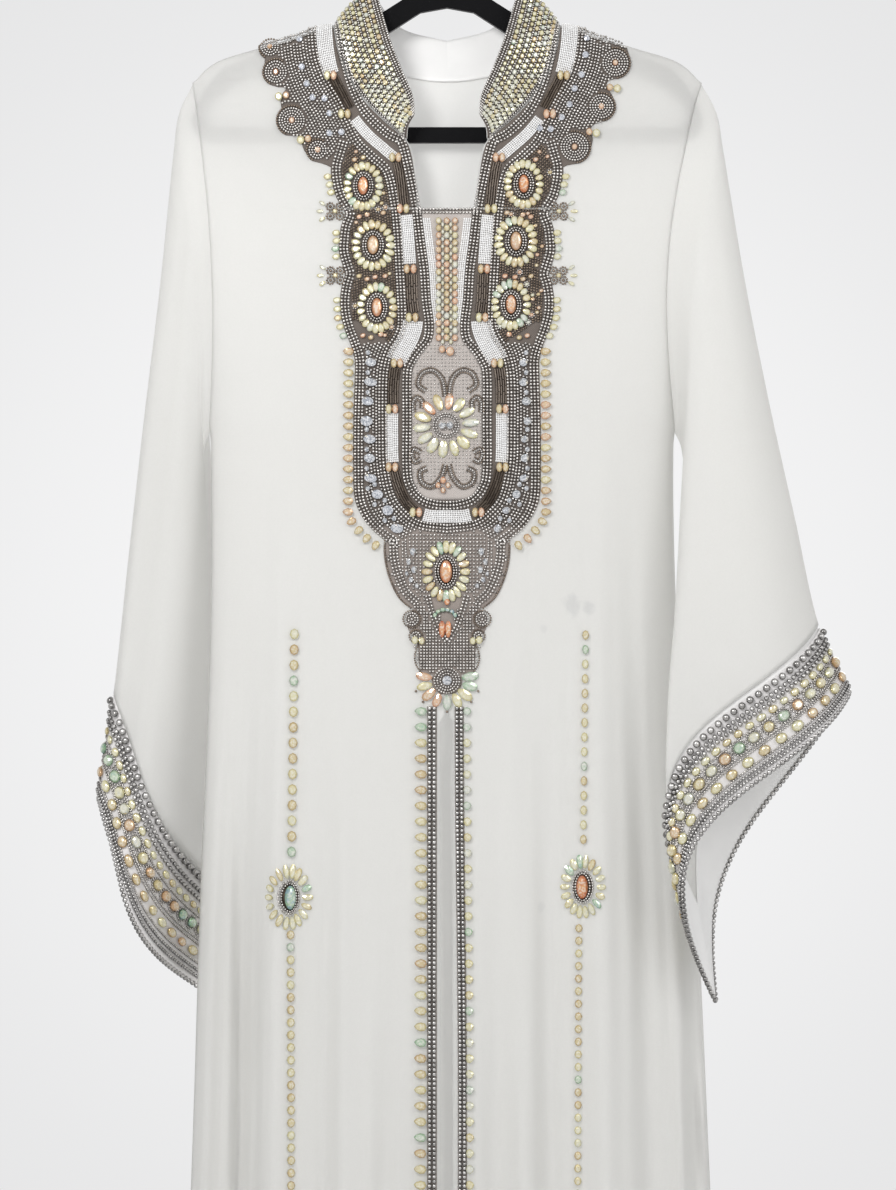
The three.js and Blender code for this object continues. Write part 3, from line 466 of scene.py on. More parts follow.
def cloth(name, columns, rows, place, outward, look, slot, wall=0.7, cut=(1, 1), closed=False):
    """A piece of cloth: a grid whose points place(u, w) puts in space, with its wall on the inner side."""
    bm = bmesh.new()
    uv = bm.loops.layers.uv.new("UVMap")
    bmesh.ops.create_grid(bm, x_segments=columns, y_segments=rows, size=0.5)
    for face in bm.faces:
        for loop in face.loops:
            corner = loop.vert.co
            loop[uv].uv = ((corner.x + 0.5) * cut[0], (corner.y + 0.5) * cut[1])
    for vert in bm.verts:
        vert.co = place(vert.co.x + 0.5, 0.5 - vert.co.y) * MM
    if closed:
        bmesh.ops.remove_doubles(bm, verts=bm.verts, dist=0.00002)
    bm.normal_update()
    bm.faces.ensure_lookup_table()
    middle = bm.faces[len(bm.faces) // 2]
    if middle.normal.dot(outward(middle.calc_center_median() / MM)) < 0:
        bmesh.ops.reverse_faces(bm, faces=bm.faces)
    mesh = bpy.data.meshes.new(name)
    bm.to_mesh(mesh)
    bm.free()
    mesh.shade_smooth()
    piece = as_piece(name, mesh, look, slot)
    thickness = piece.modifiers.new("Wall", "SOLIDIFY")
    thickness.thickness = wall * MM
    thickness.offset = -1
    thickness.use_even_offset = False
    return piece


def frontward(centre):
    return Vector((0, -1, 0))


def out_of_sleeve(side, t, point):
    """The way from a sleeve's middle line, at a share of its length, to a point."""
    return point - sum((sleeve_point(side, t, k / 8) for k in range(8)), Vector()) / 8


def tucked(level):
    """How far the body's cloth reaches under the sleeve at a level."""
    return UNDERLAP if level > UNDERARM_Z else 0


def level_in(levels, w):
    return levels[round(w * (len(levels) - 1))]


def area_of(piece):
    """The outer face's area in square metres, which is that of the cut cloth."""
    return sum(face.area for face in piece.data.polygons)


def spread(*spans):
    """Levels that run evenly within each span: (from, to, count)."""
    levels = [spans[0][0]]
    for start, end, count in spans:
        levels += [lerp(start, end, (k + 1) / count) for k in range(count)]
    return levels


# ---------------------------------------------------------------- paths and beads

# The beadwork is laid out on a chart of 0.82 mm steps: columns count from the middle, rows from the top.
STEP = 0.82
CHART_TOP = -117.8
SEED = 2.2  # from one seed bead to the next
ROPE_BEAD = 2.75  # the same for the larger beads of the ropes
PATH_STEPS = 8  # from one point of a smooth line to the next
GROUND = 1.0  # the beaded cloth's top above the garment


def chart(column, row, hand=1):
    return Vector((hand * column * STEP, CHART_TOP - row * STEP))


def on_chart(points, hand):
    """A smooth line through points of the chart, as a close row of points."""
    points = [chart(column, row, hand) for column, row in points]
    padded = [points[0], *points, points[-1]]
    line = []
    for a, b, c, d in zip(padded, padded[1:], padded[2:], padded[3:]):
        bend, twist = 2 * a - 5 * b + 4 * c - d, 3 * b - a - 3 * c + d
        for k in range(PATH_STEPS):
            t = k / PATH_STEPS
            line.append(0.5 * (2 * b + (c - a) * t + bend * t**2 + twist * t**3))
    return [*line, points[-1]]


def beside(line, distance):
    """The line moved sideways, to its left as it runs."""
    moved = []
    for i, point in enumerate(line):
        along = (line[min(len(line) - 1, i + 1)] - line[max(0, i - 1)]).normalized()
        moved.append(point + Vector((-along.y, along.x)) * distance)
    return moved


def inside(outline, place):
    """Says whether a place is within a closed outline."""
    within = False
    for a, b in zip(outline, [*outline[1:], *outline[:1]]):
        if (a.y > place.y) != (b.y > place.y):
            if place.x < a.x + (place.y - a.y) * (b.x - a.x) / (b.y - a.y):
                within = not within
    return within


SEEDS = {"yoke": 11, "plastron": 21, "cuff": 31, "collar": 41, "slit": 51, "line": 61}
FILL_ROWS = 24  # enough to cross the widest outline
SEATED = 0.42  # a bead's middle stands above its ground by this share of its height
CLOSENESS = 0.86  # beads may come nearer to each other than their radii by this factor
CELL = 8  # the chart is searched for free places in squares of this size


class Beads:
    """The beads sewn on one area, by kind, each with its place, turn, size and tint."""

    def __init__(self, area, surface, ground=GROUND):
        self.area, self.surface, self.ground = area, surface, ground
        part, _, side = area.partition("_")
        self.random = random.Random(SEEDS[part] + (side == "right"))
        self.kinds, self.placed = {}, {}

    def sew(self, kind, u, v, toward, size, tint=None, lift=0.0, lean=0.0):
        """One bead at (u, v): its length runs toward, and its size is (length, width, height)."""
        surface = self.surface
        point = surface.point(u, v)
        normal = surface.normal(u, v)
        reach = 0.01
        ahead = surface.point(u + toward[0] * reach, v + toward[1] * reach) - point
        along = (ahead - normal * ahead.dot(normal)).normalized()
        if lean:
            up = normal
            normal = up * math.cos(lean) + along * math.sin(lean)
            along = along * math.cos(lean) - up * math.sin(lean)
        turn = Matrix((along, normal.cross(along), normal)).transposed().to_quaternion()
        high = self.ground + lift + size[2] * SEATED
        tint = self.random.random() if tint is None else tint + self.random.uniform(-0.04, 0.04)
        self.kinds.setdefault(kind, []).append((point + normal * high, turn, size, clamp(tint)))
        self.placed.setdefault((int(u // CELL), int(v // CELL)), []).append((u, v, (size[0] + size[1]) / 4))

    def free(self, place, radius):
        """Says whether no bead lies near a place."""
        column, row = int(place.x // CELL), int(place.y // CELL)
        for i in (column - 1, column, column + 1):
            for j in (row - 1, row, row + 1):
                for u, v, other in self.placed.get((i, j), ()):
                    if (u - place.x) ** 2 + (v - place.y) ** 2 < ((radius + other) * CLOSENESS) ** 2:
                        return False
        return True

    def steps(self, line, pitch, ends=True):
        """Evenly spaced places along a line of the surface, each with the way the line runs there."""
        points = [self.surface.point(p.x, p.y) for p in line]
        lengths = [0.0]
        for a, b in zip(points, points[1:]):
            lengths.append(lengths[-1] + (b - a).length)
        count = max(1, round(lengths[-1] / pitch))
        i = 0
        for k in range(count + 1 if ends else count):
            wanted = lengths[-1] * (k if ends else k + 0.5) / count
            while i < len(line) - 2 and lengths[i + 1] < wanted:
                i += 1
            f = clamp((wanted - lengths[i]) / max(1e-9, lengths[i + 1] - lengths[i]))
            yield line[i].lerp(line[i + 1], f), (line[i + 1] - line[i]).normalized()

    def row(self, kind, line, pitch, size=None, tint=None, lift=0.0, keep=None, ends=True, lanes=1):
        """Beads at even steps along a line of the surface, in one lane or in several side by side."""
        size = size or (pitch * 0.95, pitch * 0.95, pitch * 0.85)
        for place, toward in self.steps(line, pitch, ends):
            beyond = Vector((-toward.y, toward.x)) * pitch
            for k in range(lanes):
                spot = place + beyond * (k - (lanes - 1) / 2)
                if keep and not keep(spot):
                    continue
                grow = 1 + self.random.uniform(-0.03, 0.03)
                self.sew(kind, spot.x, spot.y, toward, [s * grow for s in size], tint, lift)

    def rope(self, kind, line, lanes, pitch=ROPE_BEAD, keep=None, lift=0.0):
        self.row(kind, line, pitch, keep=keep, lift=lift, lanes=lanes)

    def stone(self, kind, place, size, tint=None, lift=0.0, toward=(0, 1), by=(0, 0)):
        """One stone at a place or beside it, which stands upright unless it is turned."""
        self.sew(kind, place.x + by[0], place.y + by[1], toward, size, tint, lift)

    def fill(self, kind, guide, side, outline, first, pitch=SEED, size=None, bare=()):
        """Rows that follow a guide line and fill an outline, wherever nothing is sewn yet."""
        size = size or (pitch * 0.95, pitch * 0.95, pitch * 0.85)

        def fits(p):
            return inside(outline, p) and not inside(bare, p) and self.free(p, size[0] / 2)

        for k in range(FILL_ROWS):
            self.row(kind, beside(guide, side * pitch * (k + first)), pitch, size, keep=fits)

    def nearby(self, u, v, angle, radii):
        """The place at an angle and a distance in millimetres from (u, v)."""
        s = self.surface
        pu = (s.point(u + s.du, v) - s.point(u - s.du, v)) / (2 * s.du)
        pv = (s.point(u, v + s.dv) - s.point(u, v - s.dv)) / (2 * s.dv)
        along = pv.normalized()
        across = s.normal(u, v).cross(along)
        way = along * (radii[0] * math.cos(angle)) + across * (radii[1] * math.sin(angle))
        e, f, g = pu.dot(pu), pu.dot(pv), pv.dot(pv)
        wu, wv = way.dot(pu), way.dot(pv)
        room = e * g - f * f
        return u + (g * wu - f * wv) / room, v + (e * wv - f * wu) / room

    def ring(self, kind, centre, rx, rz, pitch, size, tint=None, lift=0.0, start=0.0, end=360.0):
        """Beads round an oval."""
        count = 48
        line = []
        for k in range(count + 1):
            a = math.radians(lerp(start, end, k / count))
            line.append(Vector((centre.x + rx * math.cos(a), centre.y + rz * math.sin(a))))
        self.row(kind, line, pitch, size, tint, lift, ends=end - start < 359)

    def petals(self, centre, radii, tips, count, width, tints, lift, start=0.0, end=360.0):
        """Long stones that stand round a middle like petals."""
        whole = end - start > 359
        for k in range(count):
            a = math.radians(lerp(start, end, k / (count if whole else count - 1)))
            out = Vector((math.cos(a), math.sin(a)))
            inner = Vector((out.x * radii[0], out.y * radii[1]))
            outer = Vector((out.x * tips[0], out.y * tips[1]))
            place = centre + (inner + outer) / 2
            long = (outer - inner).length * self.random.uniform(0.9, 1.04)
            tint = self.random.choice(tints)
            size = (long, width * self.random.uniform(0.9, 1.1), 2.4)
            self.sew("petal", place.x, place.y, (outer - inner).normalized(), size, tint, lift, lean=0.12)

    def make(self):
        """Makes one piece of each kind of bead and returns them."""
        return [strew(f"{self.area}_{kind}s", kind, beads) for kind, beads in self.kinds.items()]


# ---------------------------------------------------------------- single beads


@lru_cache(maxsize=None)
def single_bead(kind):
    """A single bead as a mesh, about one unit long, which is sewn on many times."""
    shape, smooth = SHAPES[kind]
    bm = bmesh.new()
    shape(bm)
    # the rim mask, which the finishes use to paint shade round each bead's edge
    rim = bm.verts.layers.float.new("rim")
    for vert in bm.verts:
        vert[rim] = clamp(2 * math.hypot(vert.co.x, vert.co.y))
    mesh = bpy.data.meshes.new("bead")
    bm.to_mesh(mesh)
    bm.free()
    if smooth:
        mesh.shade_smooth()
    return mesh


def topmost(bm):
    return max(bm.faces, key=lambda face: face.calc_center_median().z)


def bugle_shape(bm):
    bmesh.ops.create_cone(bm, cap_ends=True, segments=7, radius1=0.5, radius2=0.5, depth=1)
    bmesh.ops.rotate(bm, verts=bm.verts, matrix=Matrix.Rotation(math.pi / 2, 3, "Y"))


def cut_stone(bm, segments, table_share, girdle):
    """A cut stone: a short girdle, one belt of facets and a flat table."""
    bmesh.ops.create_cone(bm, cap_ends=True, segments=segments, radius1=0.5, radius2=0.5, depth=girdle)
    top = topmost(bm)
    crown = bmesh.ops.extrude_face_region(bm, geom=[top])
    verts = [v for v in crown["geom"] if isinstance(v, bmesh.types.BMVert)]
    bmesh.ops.delete(bm, geom=[top], context="FACES_ONLY")
    bmesh.ops.scale(bm, verts=verts, vec=(table_share, table_share, 1))
    bmesh.ops.translate(bm, verts=verts, vec=(0, 0, 0.5 - girdle / 2))


def gem_shape(bm):
    """A long oval stone with two belts of facets."""
    cut_stone(bm, 14, 0.78, 0.3)
    bmesh.ops.inset_individual(bm, faces=[topmost(bm)], thickness=0.12, depth=0.12)


def tapered_stone(bm, segments, table_share, girdle, taper):
    """A cut stone that is wider (or with a taper below 0, narrower) towards its outer end."""
    cut_stone(bm, segments, table_share, girdle)
    for vert in bm.verts:
        vert.co.y *= 1 + taper * vert.co.x


def ball(bm, fineness):
    bmesh.ops.create_icosphere(bm, subdivisions=fineness, radius=0.5)


# Each kind of bead: how its shape is made, and whether it is smooth.
SHAPES = {
    "silver_seed": (lambda bm: ball(bm, 1), True),
    "bronze_seed": (lambda bm: ball(bm, 1), True),
    "white_seed": (lambda bm: ball(bm, 1), True),
    "pearl": (lambda bm: ball(bm, 2), True),
    "bugle": (bugle_shape, False),
    "chip": (lambda bm: cut_stone(bm, 8, 0.5, 0.4), False),
    "crystal": (lambda bm: cut_stone(bm, 12, 0.55, 0.3), False),
    "gem": (gem_shape, False),
    "cabochon": (lambda bm: ball(bm, 2), True),
    "petal": (lambda bm: tapered_stone(bm, 10, 0.45, 0.35, 0.22), False),
    "drop": (lambda bm: tapered_stone(bm, 8, 0.5, 0.4, -0.5), False),
}


def strew(name, kind, beads):
    """Places a kind of bead at every noted place and makes it all one piece."""
    mesh = bpy.data.meshes.new(name)
    mesh.vertices.add(len(beads))
    mesh.vertices.foreach_set("co", [c * MM for bead in beads for c in bead[0]])
    turns = mesh.attributes.new("turn", "QUATERNION", "POINT")
    turns.data.foreach_set("value", [c for bead in beads for c in bead[1]])
    sizes = mesh.attributes.new("size", "FLOAT_VECTOR", "POINT")
    sizes.data.foreach_set("vector", [c * MM for bead in beads for c in bead[2]])
    tints = mesh.attributes.new("tint", "FLOAT", "POINT")
    tints.data.foreach_set("value", [bead[3] for bead in beads])
    places = bpy.data.objects.new(name + "_places", mesh)
    single = bpy.data.objects.new(name + "_bead", single_bead(kind))
    scene = bpy.context.scene
    scene.collection.objects.link(places)
    scene.collection.objects.link(single)

    group = bpy.data.node_groups.new(name, "GeometryNodeTree")
    group.interface.new_socket("Geometry", in_out="INPUT", socket_type="NodeSocketGeometry")
    group.interface.new_socket("Geometry", in_out="OUTPUT", socket_type="NodeSocketGeometry")
    add, link = group.nodes.new, group.links.new
    source, result = add("NodeGroupInput"), add("NodeGroupOutput")
    bead = add("GeometryNodeObjectInfo")
    bead.inputs["Object"].default_value = single
    lay = add("GeometryNodeInstanceOnPoints")
    join = add("GeometryNodeRealizeInstances")
    for attribute, socket in (("turn", "Rotation"), ("size", "Scale")):
        read = add("GeometryNodeInputNamedAttribute")
        read.data_type = mesh.attributes[attribute].data_type
        read.inputs["Name"].default_value = attribute
        link(read.outputs["Attribute"], lay.inputs[socket])
    link(source.outputs[0], lay.inputs["Points"])
    link(bead.outputs["Geometry"], lay.inputs["Instance"])
    link(lay.outputs["Instances"], join.inputs["Geometry"])
    link(join.outputs["Geometry"], result.inputs[0])
    places.modifiers.new("Strew", "NODES").node_group = group

    depsgraph = bpy.context.evaluated_depsgraph_get()
    joined = bpy.data.meshes.new_from_object(places.evaluated_get(depsgraph), depsgraph=depsgraph)
    for spent in (places, single):
        bpy.data.objects.remove(spent)
    bpy.data.node_groups.remove(group)
    joined.name = name
    if len(joined.polygons) == 0:
        raise RuntimeError(f"{name} came out empty")
    return as_piece(name, joined, kind, "beadwork" if kind in SEWN_BEADS else "stones")


# ---------------------------------------------------------------- finishes


def operator(operation, swapped=False):
    """A sum, product or the like of a shader value and another, which stands first if they are swapped."""

    def apply(value, other):
        return value.math(operation, *((other, value) if swapped else (value, other)))

    return apply


class Value:
    """A shader socket that sums, products and masks can be written with."""

    def __init__(self, look, socket):
        self.look, self.socket = look, socket

    def math(self, operation, *values):
        return self.look.node("Math", {"operation": operation}, values)

    __add__, __radd__ = operator("ADD"), operator("ADD", True)
    __sub__, __rsub__ = operator("SUBTRACT"), operator("SUBTRACT", True)
    __mul__, __rmul__ = operator("MULTIPLY"), operator("MULTIPLY", True)
    __truediv__, __pow__ = operator("DIVIDE"), operator("POWER")
    least, most = operator("MINIMUM"), operator("MAXIMUM")

    def sine(self):
        return self.math("SINE", self)

    def ramp(self, low, high):
        """0 below low, 1 above high, smooth between."""
        settings = {"interpolation_type": "SMOOTHSTEP", "clamp": True}
        return self.look.node("MapRange", settings, (self, low, high, 0.0, 1.0))


class Look:
    """One finish: a material and the nodes that make it."""

    def __init__(self, name, **constants):
        self.material = bpy.data.materials.new(name)
        self.material.use_nodes = True
        self.tree = self.material.node_tree
        self.tree.nodes.clear()
        self.shader = self.tree.nodes.new("ShaderNodeBsdfPrincipled")
        self.surface = self.tree.nodes.new("ShaderNodeOutputMaterial").inputs["Surface"]
        self.tree.links.new(self.shader.outputs[0], self.surface)
        for name, value in constants.items():
            self.feed(name.replace("_", " ").title().replace("Ior", "IOR"), value)

    def put(self, socket, value):
        if isinstance(value, Value):
            self.tree.links.new(value.socket, socket)
        elif socket.type == "RGBA" and len(value) == 3:
            socket.default_value = (*value, 1)
        else:
            socket.default_value = value

    def feed(self, name, value):
        self.put(self.shader.inputs[name], value)

    def node(self, kind, settings=None, values=(), output=0):
        """Any node: its type, its settings, which are set first, and the values or links of its sockets."""
        node = self.tree.nodes.new("ShaderNode" + kind)
        for key, value in (settings or {}).items():
            setattr(node, key, value)
        pairs = values.items() if isinstance(values, dict) else enumerate(values)
        for key, value in pairs:
            self.put(node.inputs[key], value)
        return Value(self, node.outputs[output])

    def place(self):
        return self.node("TexCoord", output="Object")

    def parts(self, vector):
        node = self.node("SeparateXYZ", values=(vector,)).socket.node
        return [Value(self, node.outputs[k]) for k in range(3)]

    def axes(self):
        """The place's x, y and z in metres."""
        return self.parts(self.place())

    def noise(self, scale, detail=2.0, rough=0.5):
        values = {"Vector": self.place(), "Scale": scale, "Detail": detail, "Roughness": rough}
        return self.node("TexNoise", None, values)

    def blend(self, factor, first, second):
        """A colour that goes from first to second with the factor."""
        return self.node("Mix", {"data_type": "RGBA"}, {0: factor, 6: first, 7: second}, 2)

    def bump(self, height, distance, strength):
        values = {"Height": height, "Distance": distance, "Strength": strength}
        self.feed("Normal", self.node("Bump", values=values))

    def glow_through(self, share, colour):
        """Lets a share of the light pass to the other side, as thin cloth does."""
        beyond = self.node("BsdfTranslucent", values=(colour,))
        both = self.node("MixShader", values=(share, Value(self, self.shader.outputs[0]), beyond))
        self.put(self.surface, both)

    def tint(self):
        return self.node("Attribute", {"attribute_name": "tint"}, output="Fac")

    def rim(self):
        """0 on top of a bead and 1 round its edge: the mask for painted shade round each bead's edge."""
        return self.node("Attribute", {"attribute_name": "rim"}, output="Fac")

    def colours(self, factor, *stops):
        """A run of colours over a factor from 0 to 1: (position, colour) pairs."""
        node = self.tree.nodes.new("ShaderNodeValToRGB")
        elements = node.color_ramp.elements
        while len(elements) < len(stops):
            elements.new(0.5)
        for element, (position, colour) in zip(elements, stops):
            element.position = position
            element.color = (*colour, 1)
        self.put(node.inputs[0], factor)
        return Value(self, node.outputs[0])


def chiffon(name, marks=()):
    """Sheer ivory crepe: a fine weave, slight unevenness, and grey marks where it has been soiled."""
    look = Look(name, roughness=0.72, sheen_weight=0.15, sheen_roughness=0.5, specular_ior_level=0.25)
    u, v, _ = look.parts(look.node("UVMap", {"uv_map": "UVMap"}))
    weave = (u * 5200).sine() * 0.5 + (v * 4700).sine() * 0.5
    cloudy = look.noise(9, 3, 0.55)
    creep = look.noise(700, 2, 0.6)
    colour = look.blend(cloudy, (0.875, 0.868, 0.845), (0.905, 0.9, 0.882))
    if marks:
        x, _, z = look.axes()
        soiled = None
        for mark in marks:
            dx = (x - mark["x"] * MM) / (mark["wide"] * MM)
            dz = (z - mark["z"] * MM) / (mark["high"] * MM)
            near = (dx * dx + dz * dz) ** 0.5
            spot = (1 - (near + (look.noise(160, 2) - 0.5) * 1.1).ramp(0.35, 1.0)) * mark["grey"]
            soiled = spot if soiled is None else soiled.most(spot)
        colour = look.blend(soiled, colour, (0.52, 0.53, 0.55))
    look.feed("Base Color", colour)
    look.feed("Alpha", 0.57 + creep * 0.06)
    look.bump(weave * 0.4 + creep * 0.6, 0.00012, 0.5)
    look.glow_through(0.3, (0.9, 0.9, 0.89))
    return look.material


def satin(name, colour):
    """Smooth white lining cloth with a soft shine."""
    look = Look(name, roughness=0.42, sheen_weight=0.1, specular_ior_level=0.5)
    uneven = look.noise(60, 3)
    darker, lighter = [c * 0.97 for c in colour], [min(1, c * 1.03) for c in colour]
    look.feed("Base Color", look.blend(uneven, darker, lighter))
    threads = look.noise(2400, 1)
    look.feed("Roughness", 0.38 + uneven * 0.1)
    look.bump(threads, 0.00008, 0.5)
    return look.material


def netting(name, dark, light, paler=None, level=0.0):
    """Close net under the beads, darker in its holes, and of a paler colour below a level."""
    look = Look(name, roughness=0.8, specular_ior_level=0.2)
    x, _, z = look.axes()
    holes = (x * 3300).sine() * (z * 3300).sine()
    uneven = look.noise(140, 3)
    mask = (holes * 0.5 + 0.5) * 0.6 + uneven * 0.4
    colour = look.blend(mask, dark, light)
    if paler:
        colour = look.blend(z.ramp(level - 0.002, level + 0.002), paler, colour)
    look.feed("Base Color", colour)
    look.bump(mask, 0.0003, 0.6)
    return look.material


def metal_beads(name, dark, light, roughness, metallic):
    """Metal-coated glass seed beads, a little uneven from bead to bead, with painted shade that darkens each
    bead towards its edge.
    """
    look = Look(name, metallic=metallic, coat_weight=0.3, coat_roughness=0.1)
    tint = look.tint()
    shine = look.blend(tint, [c * 1.14 for c in dark], [min(0.96, c * 1.14) for c in light])
    # painted shade: each bead is darker towards its rim, standing for the dark reflections at its sides
    look.feed("Base Color", look.blend(look.rim().ramp(0.35, 1.0) * 0.75, shine, [c * 0.3 for c in dark]))
    look.feed("Roughness", roughness + tint * 0.08 + look.noise(900, 1) * 0.06)
    return look.material


def glass_beads(name, dark, light):
    look = Look(name, specular_ior_level=0.6, coat_weight=0.4, coat_roughness=0.1)
    tint = look.tint()
    look.feed("Base Color", look.blend(tint, dark, light))
    look.feed("Roughness", 0.25 + look.noise(900, 1) * 0.1)
    return look.material


# Colours that a coated stone may have, by tint: blue, green, clear, straw, gold, peach, amber.
COATED = (
    (0.0, (0.28, 0.44, 0.66)),
    (0.12, (0.44, 0.62, 0.42)),
    (0.25, (0.70, 0.72, 0.68)),
    (0.4, (0.79, 0.75, 0.48)),
    (0.6, (0.66, 0.52, 0.27)),
    (0.8, (0.76, 0.50, 0.34)),
    (0.9, (0.80, 0.37, 0.12)),
    (1.0, (0.64, 0.20, 0.05)),
)
EDGE_SHADE_COLOURS = [(place, [c * c * 0.85 for c in colour]) for place, colour in COATED]  # the same, darker, for painted shade round a stone's edge


def coated_stones(name, spreading):
    """Cut glass with a shifting coat: each stone has its own tint, and shows patches of the next ones; its
    bright patches are painted highlights, and its edge has painted shade.
    """
    look = Look(name, metallic=0.45, coat_weight=0.7, coat_roughness=0.05, specular_ior_level=0.6)
    patches = look.noise(420, 1, 0.4)
    tint = (look.tint() + (patches - 0.5) * spreading * 2).least(1).most(0)
    # painted highlights: small near-white patches mixed into every stone's colour
    light = look.noise(650, 0).ramp(0.45, 0.65) * 0.45 + 0.12
    middle = look.blend(light, look.colours(tint, *COATED), (0.96, 0.94, 0.86))
    # painted shade: the colour turns darker towards the stone's edge
    look.feed("Base Color", look.blend(look.rim().ramp(0.5, 1.0) * 0.8, middle, look.colours(tint, *EDGE_SHADE_COLOURS)))
    look.feed("Roughness", 0.1 + patches * 0.12)
    return look.material


def clear_stones(name):
    """Foiled clear crystal: its facets' glints and shade are painted as near-white and cool dark patches."""
    look = Look(name, metallic=0.6, coat_weight=1.0, coat_roughness=0.02, specular_ior_level=0.8)
    light = look.noise(800, 1)
    # painted highlights and painted shade: patches between a cool dark grey and near white
    colour = look.blend(light.ramp(0.35, 0.65), (0.32, 0.345, 0.38), (0.93, 0.94, 0.95))
    look.feed("Base Color", look.blend(look.tint() * 0.25, colour, (0.62, 0.68, 0.9)))
    look.feed("Roughness", 0.08 + light * 0.1)
    return look.material


def velvet(name):
    """Black flocked hanger."""
    look = Look(name, roughness=0.95, sheen_weight=0.35, sheen_roughness=0.4, specular_ior_level=0.1)
    nap = look.noise(1500, 3)
    look.feed("Base Color", look.blend(nap, (0.003, 0.003, 0.0035), (0.009, 0.009, 0.01)))
    look.bump(nap, 0.0003, 0.6)
    return look.material


def polished(name):
    """Bright steel wire with fine drawn marks."""
    look = Look(name, metallic=1.0)
    marks = look.noise(500, 4, 0.7)
    look.feed("Base Color", look.blend(marks, (0.62, 0.63, 0.65), (0.75, 0.76, 0.78)))
    look.feed("Roughness", 0.2 + marks * 0.15)
    return look.material


MARKS = table(
    "x z wide high grey",
    (102.5, -614, 9, 11, 0.34),
    (115.6, -616, 7, 7, 0.36),
    (78.7, -632.8, 4, 5, 0.2),
    (76.3, -860, 4, 6, 0.22),
)
# the net under the beads: partly its own dark tone, partly painted shade for the gaps between beads
DARK_NET_AND_GAP_SHADE = ((0.10, 0.085, 0.075), (0.20, 0.17, 0.15))
# Each finish: what makes it, and its colours and shares.
FINISHES = {
    "chiffon": (chiffon,),
    "chiffon_marked": (chiffon, MARKS),
    "cuff_cloth": (satin, (0.76, 0.74, 0.735)),
    "lining": (satin, (0.87, 0.865, 0.855)),
    "grey_net": (netting, *DARK_NET_AND_GAP_SHADE),
    "panel_net": (netting, *DARK_NET_AND_GAP_SHADE, (0.31, 0.27, 0.245), -0.5505),
    "slit_net": (netting, (0.24, 0.215, 0.195), (0.36, 0.325, 0.3)),
    "pale_net": (netting, (0.40, 0.36, 0.335), (0.56, 0.52, 0.49)),
    "silver_seed": (metal_beads, (0.46, 0.435, 0.41), (0.84, 0.81, 0.78), 0.3, 0.85),
    "bronze_seed": (metal_beads, (0.13, 0.095, 0.07), (0.33, 0.26, 0.2), 0.28, 0.6),
    "white_seed": (glass_beads, (0.74, 0.73, 0.72), (0.86, 0.86, 0.86)),
    "pearl": (metal_beads, (0.38, 0.37, 0.36), (0.66, 0.645, 0.63), 0.22, 0.9),
    "bugle": (metal_beads, (0.10, 0.07, 0.05), (0.34, 0.27, 0.21), 0.15, 0.6),
    "chip": (coated_stones, 0.12),
    "gem": (coated_stones, 0.12),
    "cabochon": (coated_stones, 0.1),
    "petal": (coated_stones, 0.16),
    "drop": (coated_stones, 0.12),
    "crystal": (clear_stones,),
    "velvet": (velvet,),
    "steel": (polished,),
}
LOOKS = {}


def look_of(name):
    """The finish of that name, made when it is first asked for."""
    if name not in LOOKS:
        maker, *values = FINISHES[name]
        LOOKS[name] = maker(name, *values)
    return LOOKS[name]


SEWN_BEADS = ("silver_seed", "bronze_seed", "white_seed", "pearl", "bugle")  # the other kinds are stones


# ---------------------------------------------------------------- sizes that a user may change


class KaftanCloth(bpy.types.PropertyGroup):
    wall: bpy.props.FloatProperty(
        name="Cloth", description="Thickness of the body's cloth", default=0.7 * MM, min=0.0003, max=0.0012,
        unit="LENGTH",
    )
    lining_gap: bpy.props.FloatProperty(
        name="Lining gap", description="From the cuff's outside to its lining", default=1.5 * MM,
        unit="LENGTH",
    )


class KaftanStage(bpy.types.PropertyGroup):
    backdrop: bpy.props.FloatVectorProperty(
        name="Surround", description="Colour of the studio around the garment", subtype="COLOR",
        default=(0.905, 0.905, 0.91),
    )
    floor_radius: bpy.props.FloatProperty(
        name="Floor", description="Radius of the round floor", default=2.2, unit="LENGTH"
    )


# ---------------------------------------------------------------- operators: the cloth


class KAFTAN_OT_fronts(bpy.types.Operator):
    """Make the two fronts, joined down to the slit"""

    bl_idname = "kaftan.fronts"
    bl_label = "Fronts"

    def execute(self, context):
        rows = spread(
            (NECK_Z, -175, 20), (-175, -287, 24), (-287, -288, 1), (-288, -700, 60), (-700, -714, 3),
            (-714, HEM_Z, 84),
        )
        for side, sign in SIDES:

            def place(u, w, side=side, sign=sign):
                level = level_in(rows, w)
                outer = edge_of(side, sloped(level, SHOULDER_TIP[0]))
                inner = opening_at(level)
                if sign > 0 and level < SLIT_TOP_Z - 10:
                    inner -= PIPING
                x = lerp(inner, outer + tucked(level), u)
                return body_point(sign * x, sloped(level, x), -1)

            piece = cloth(
                f"front_{side}_cloth", 64, len(rows) - 1, place, frontward,
                "chiffon_marked" if side == "right" else "chiffon", "chiffon",
                context.scene.kaftan_cloth.wall / MM, (0.22, 1.43),
            )
            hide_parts(f"front_{side}")
        return {"FINISHED"}


class KAFTAN_OT_back(bpy.types.Operator):
    """Make the back"""

    bl_idname = "kaftan.back"
    bl_label = "Back"

    def execute(self, context):
        rows = spread((NECK_Z, -175, 14), (-175, -300, 16), (-300, HEM_Z, 110))

        def place(u, w):
            level = level_in(rows, w)
            z = sloped(level, SHOULDER_TIP[0])
            x = lerp(-edge_of("left", z) - tucked(level), edge_of("right", z) + tucked(level), u)
            fade = ramp((level - DIP_END_Z) / (NECK_Z - DIP_END_Z))
            return body_point(x, sloped(level, x) - back_neck_dip(min(abs(x), NECK_X)) * fade, 1)

        piece = cloth(
            "back_cloth", 100, len(rows) - 1, place, lambda centre: Vector((0, 1, 0)), "chiffon",
            "chiffon", context.scene.kaftan_cloth.wall / MM, (0.45, 1.42),
        )
        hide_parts("back")
        return {"FINISHED"}


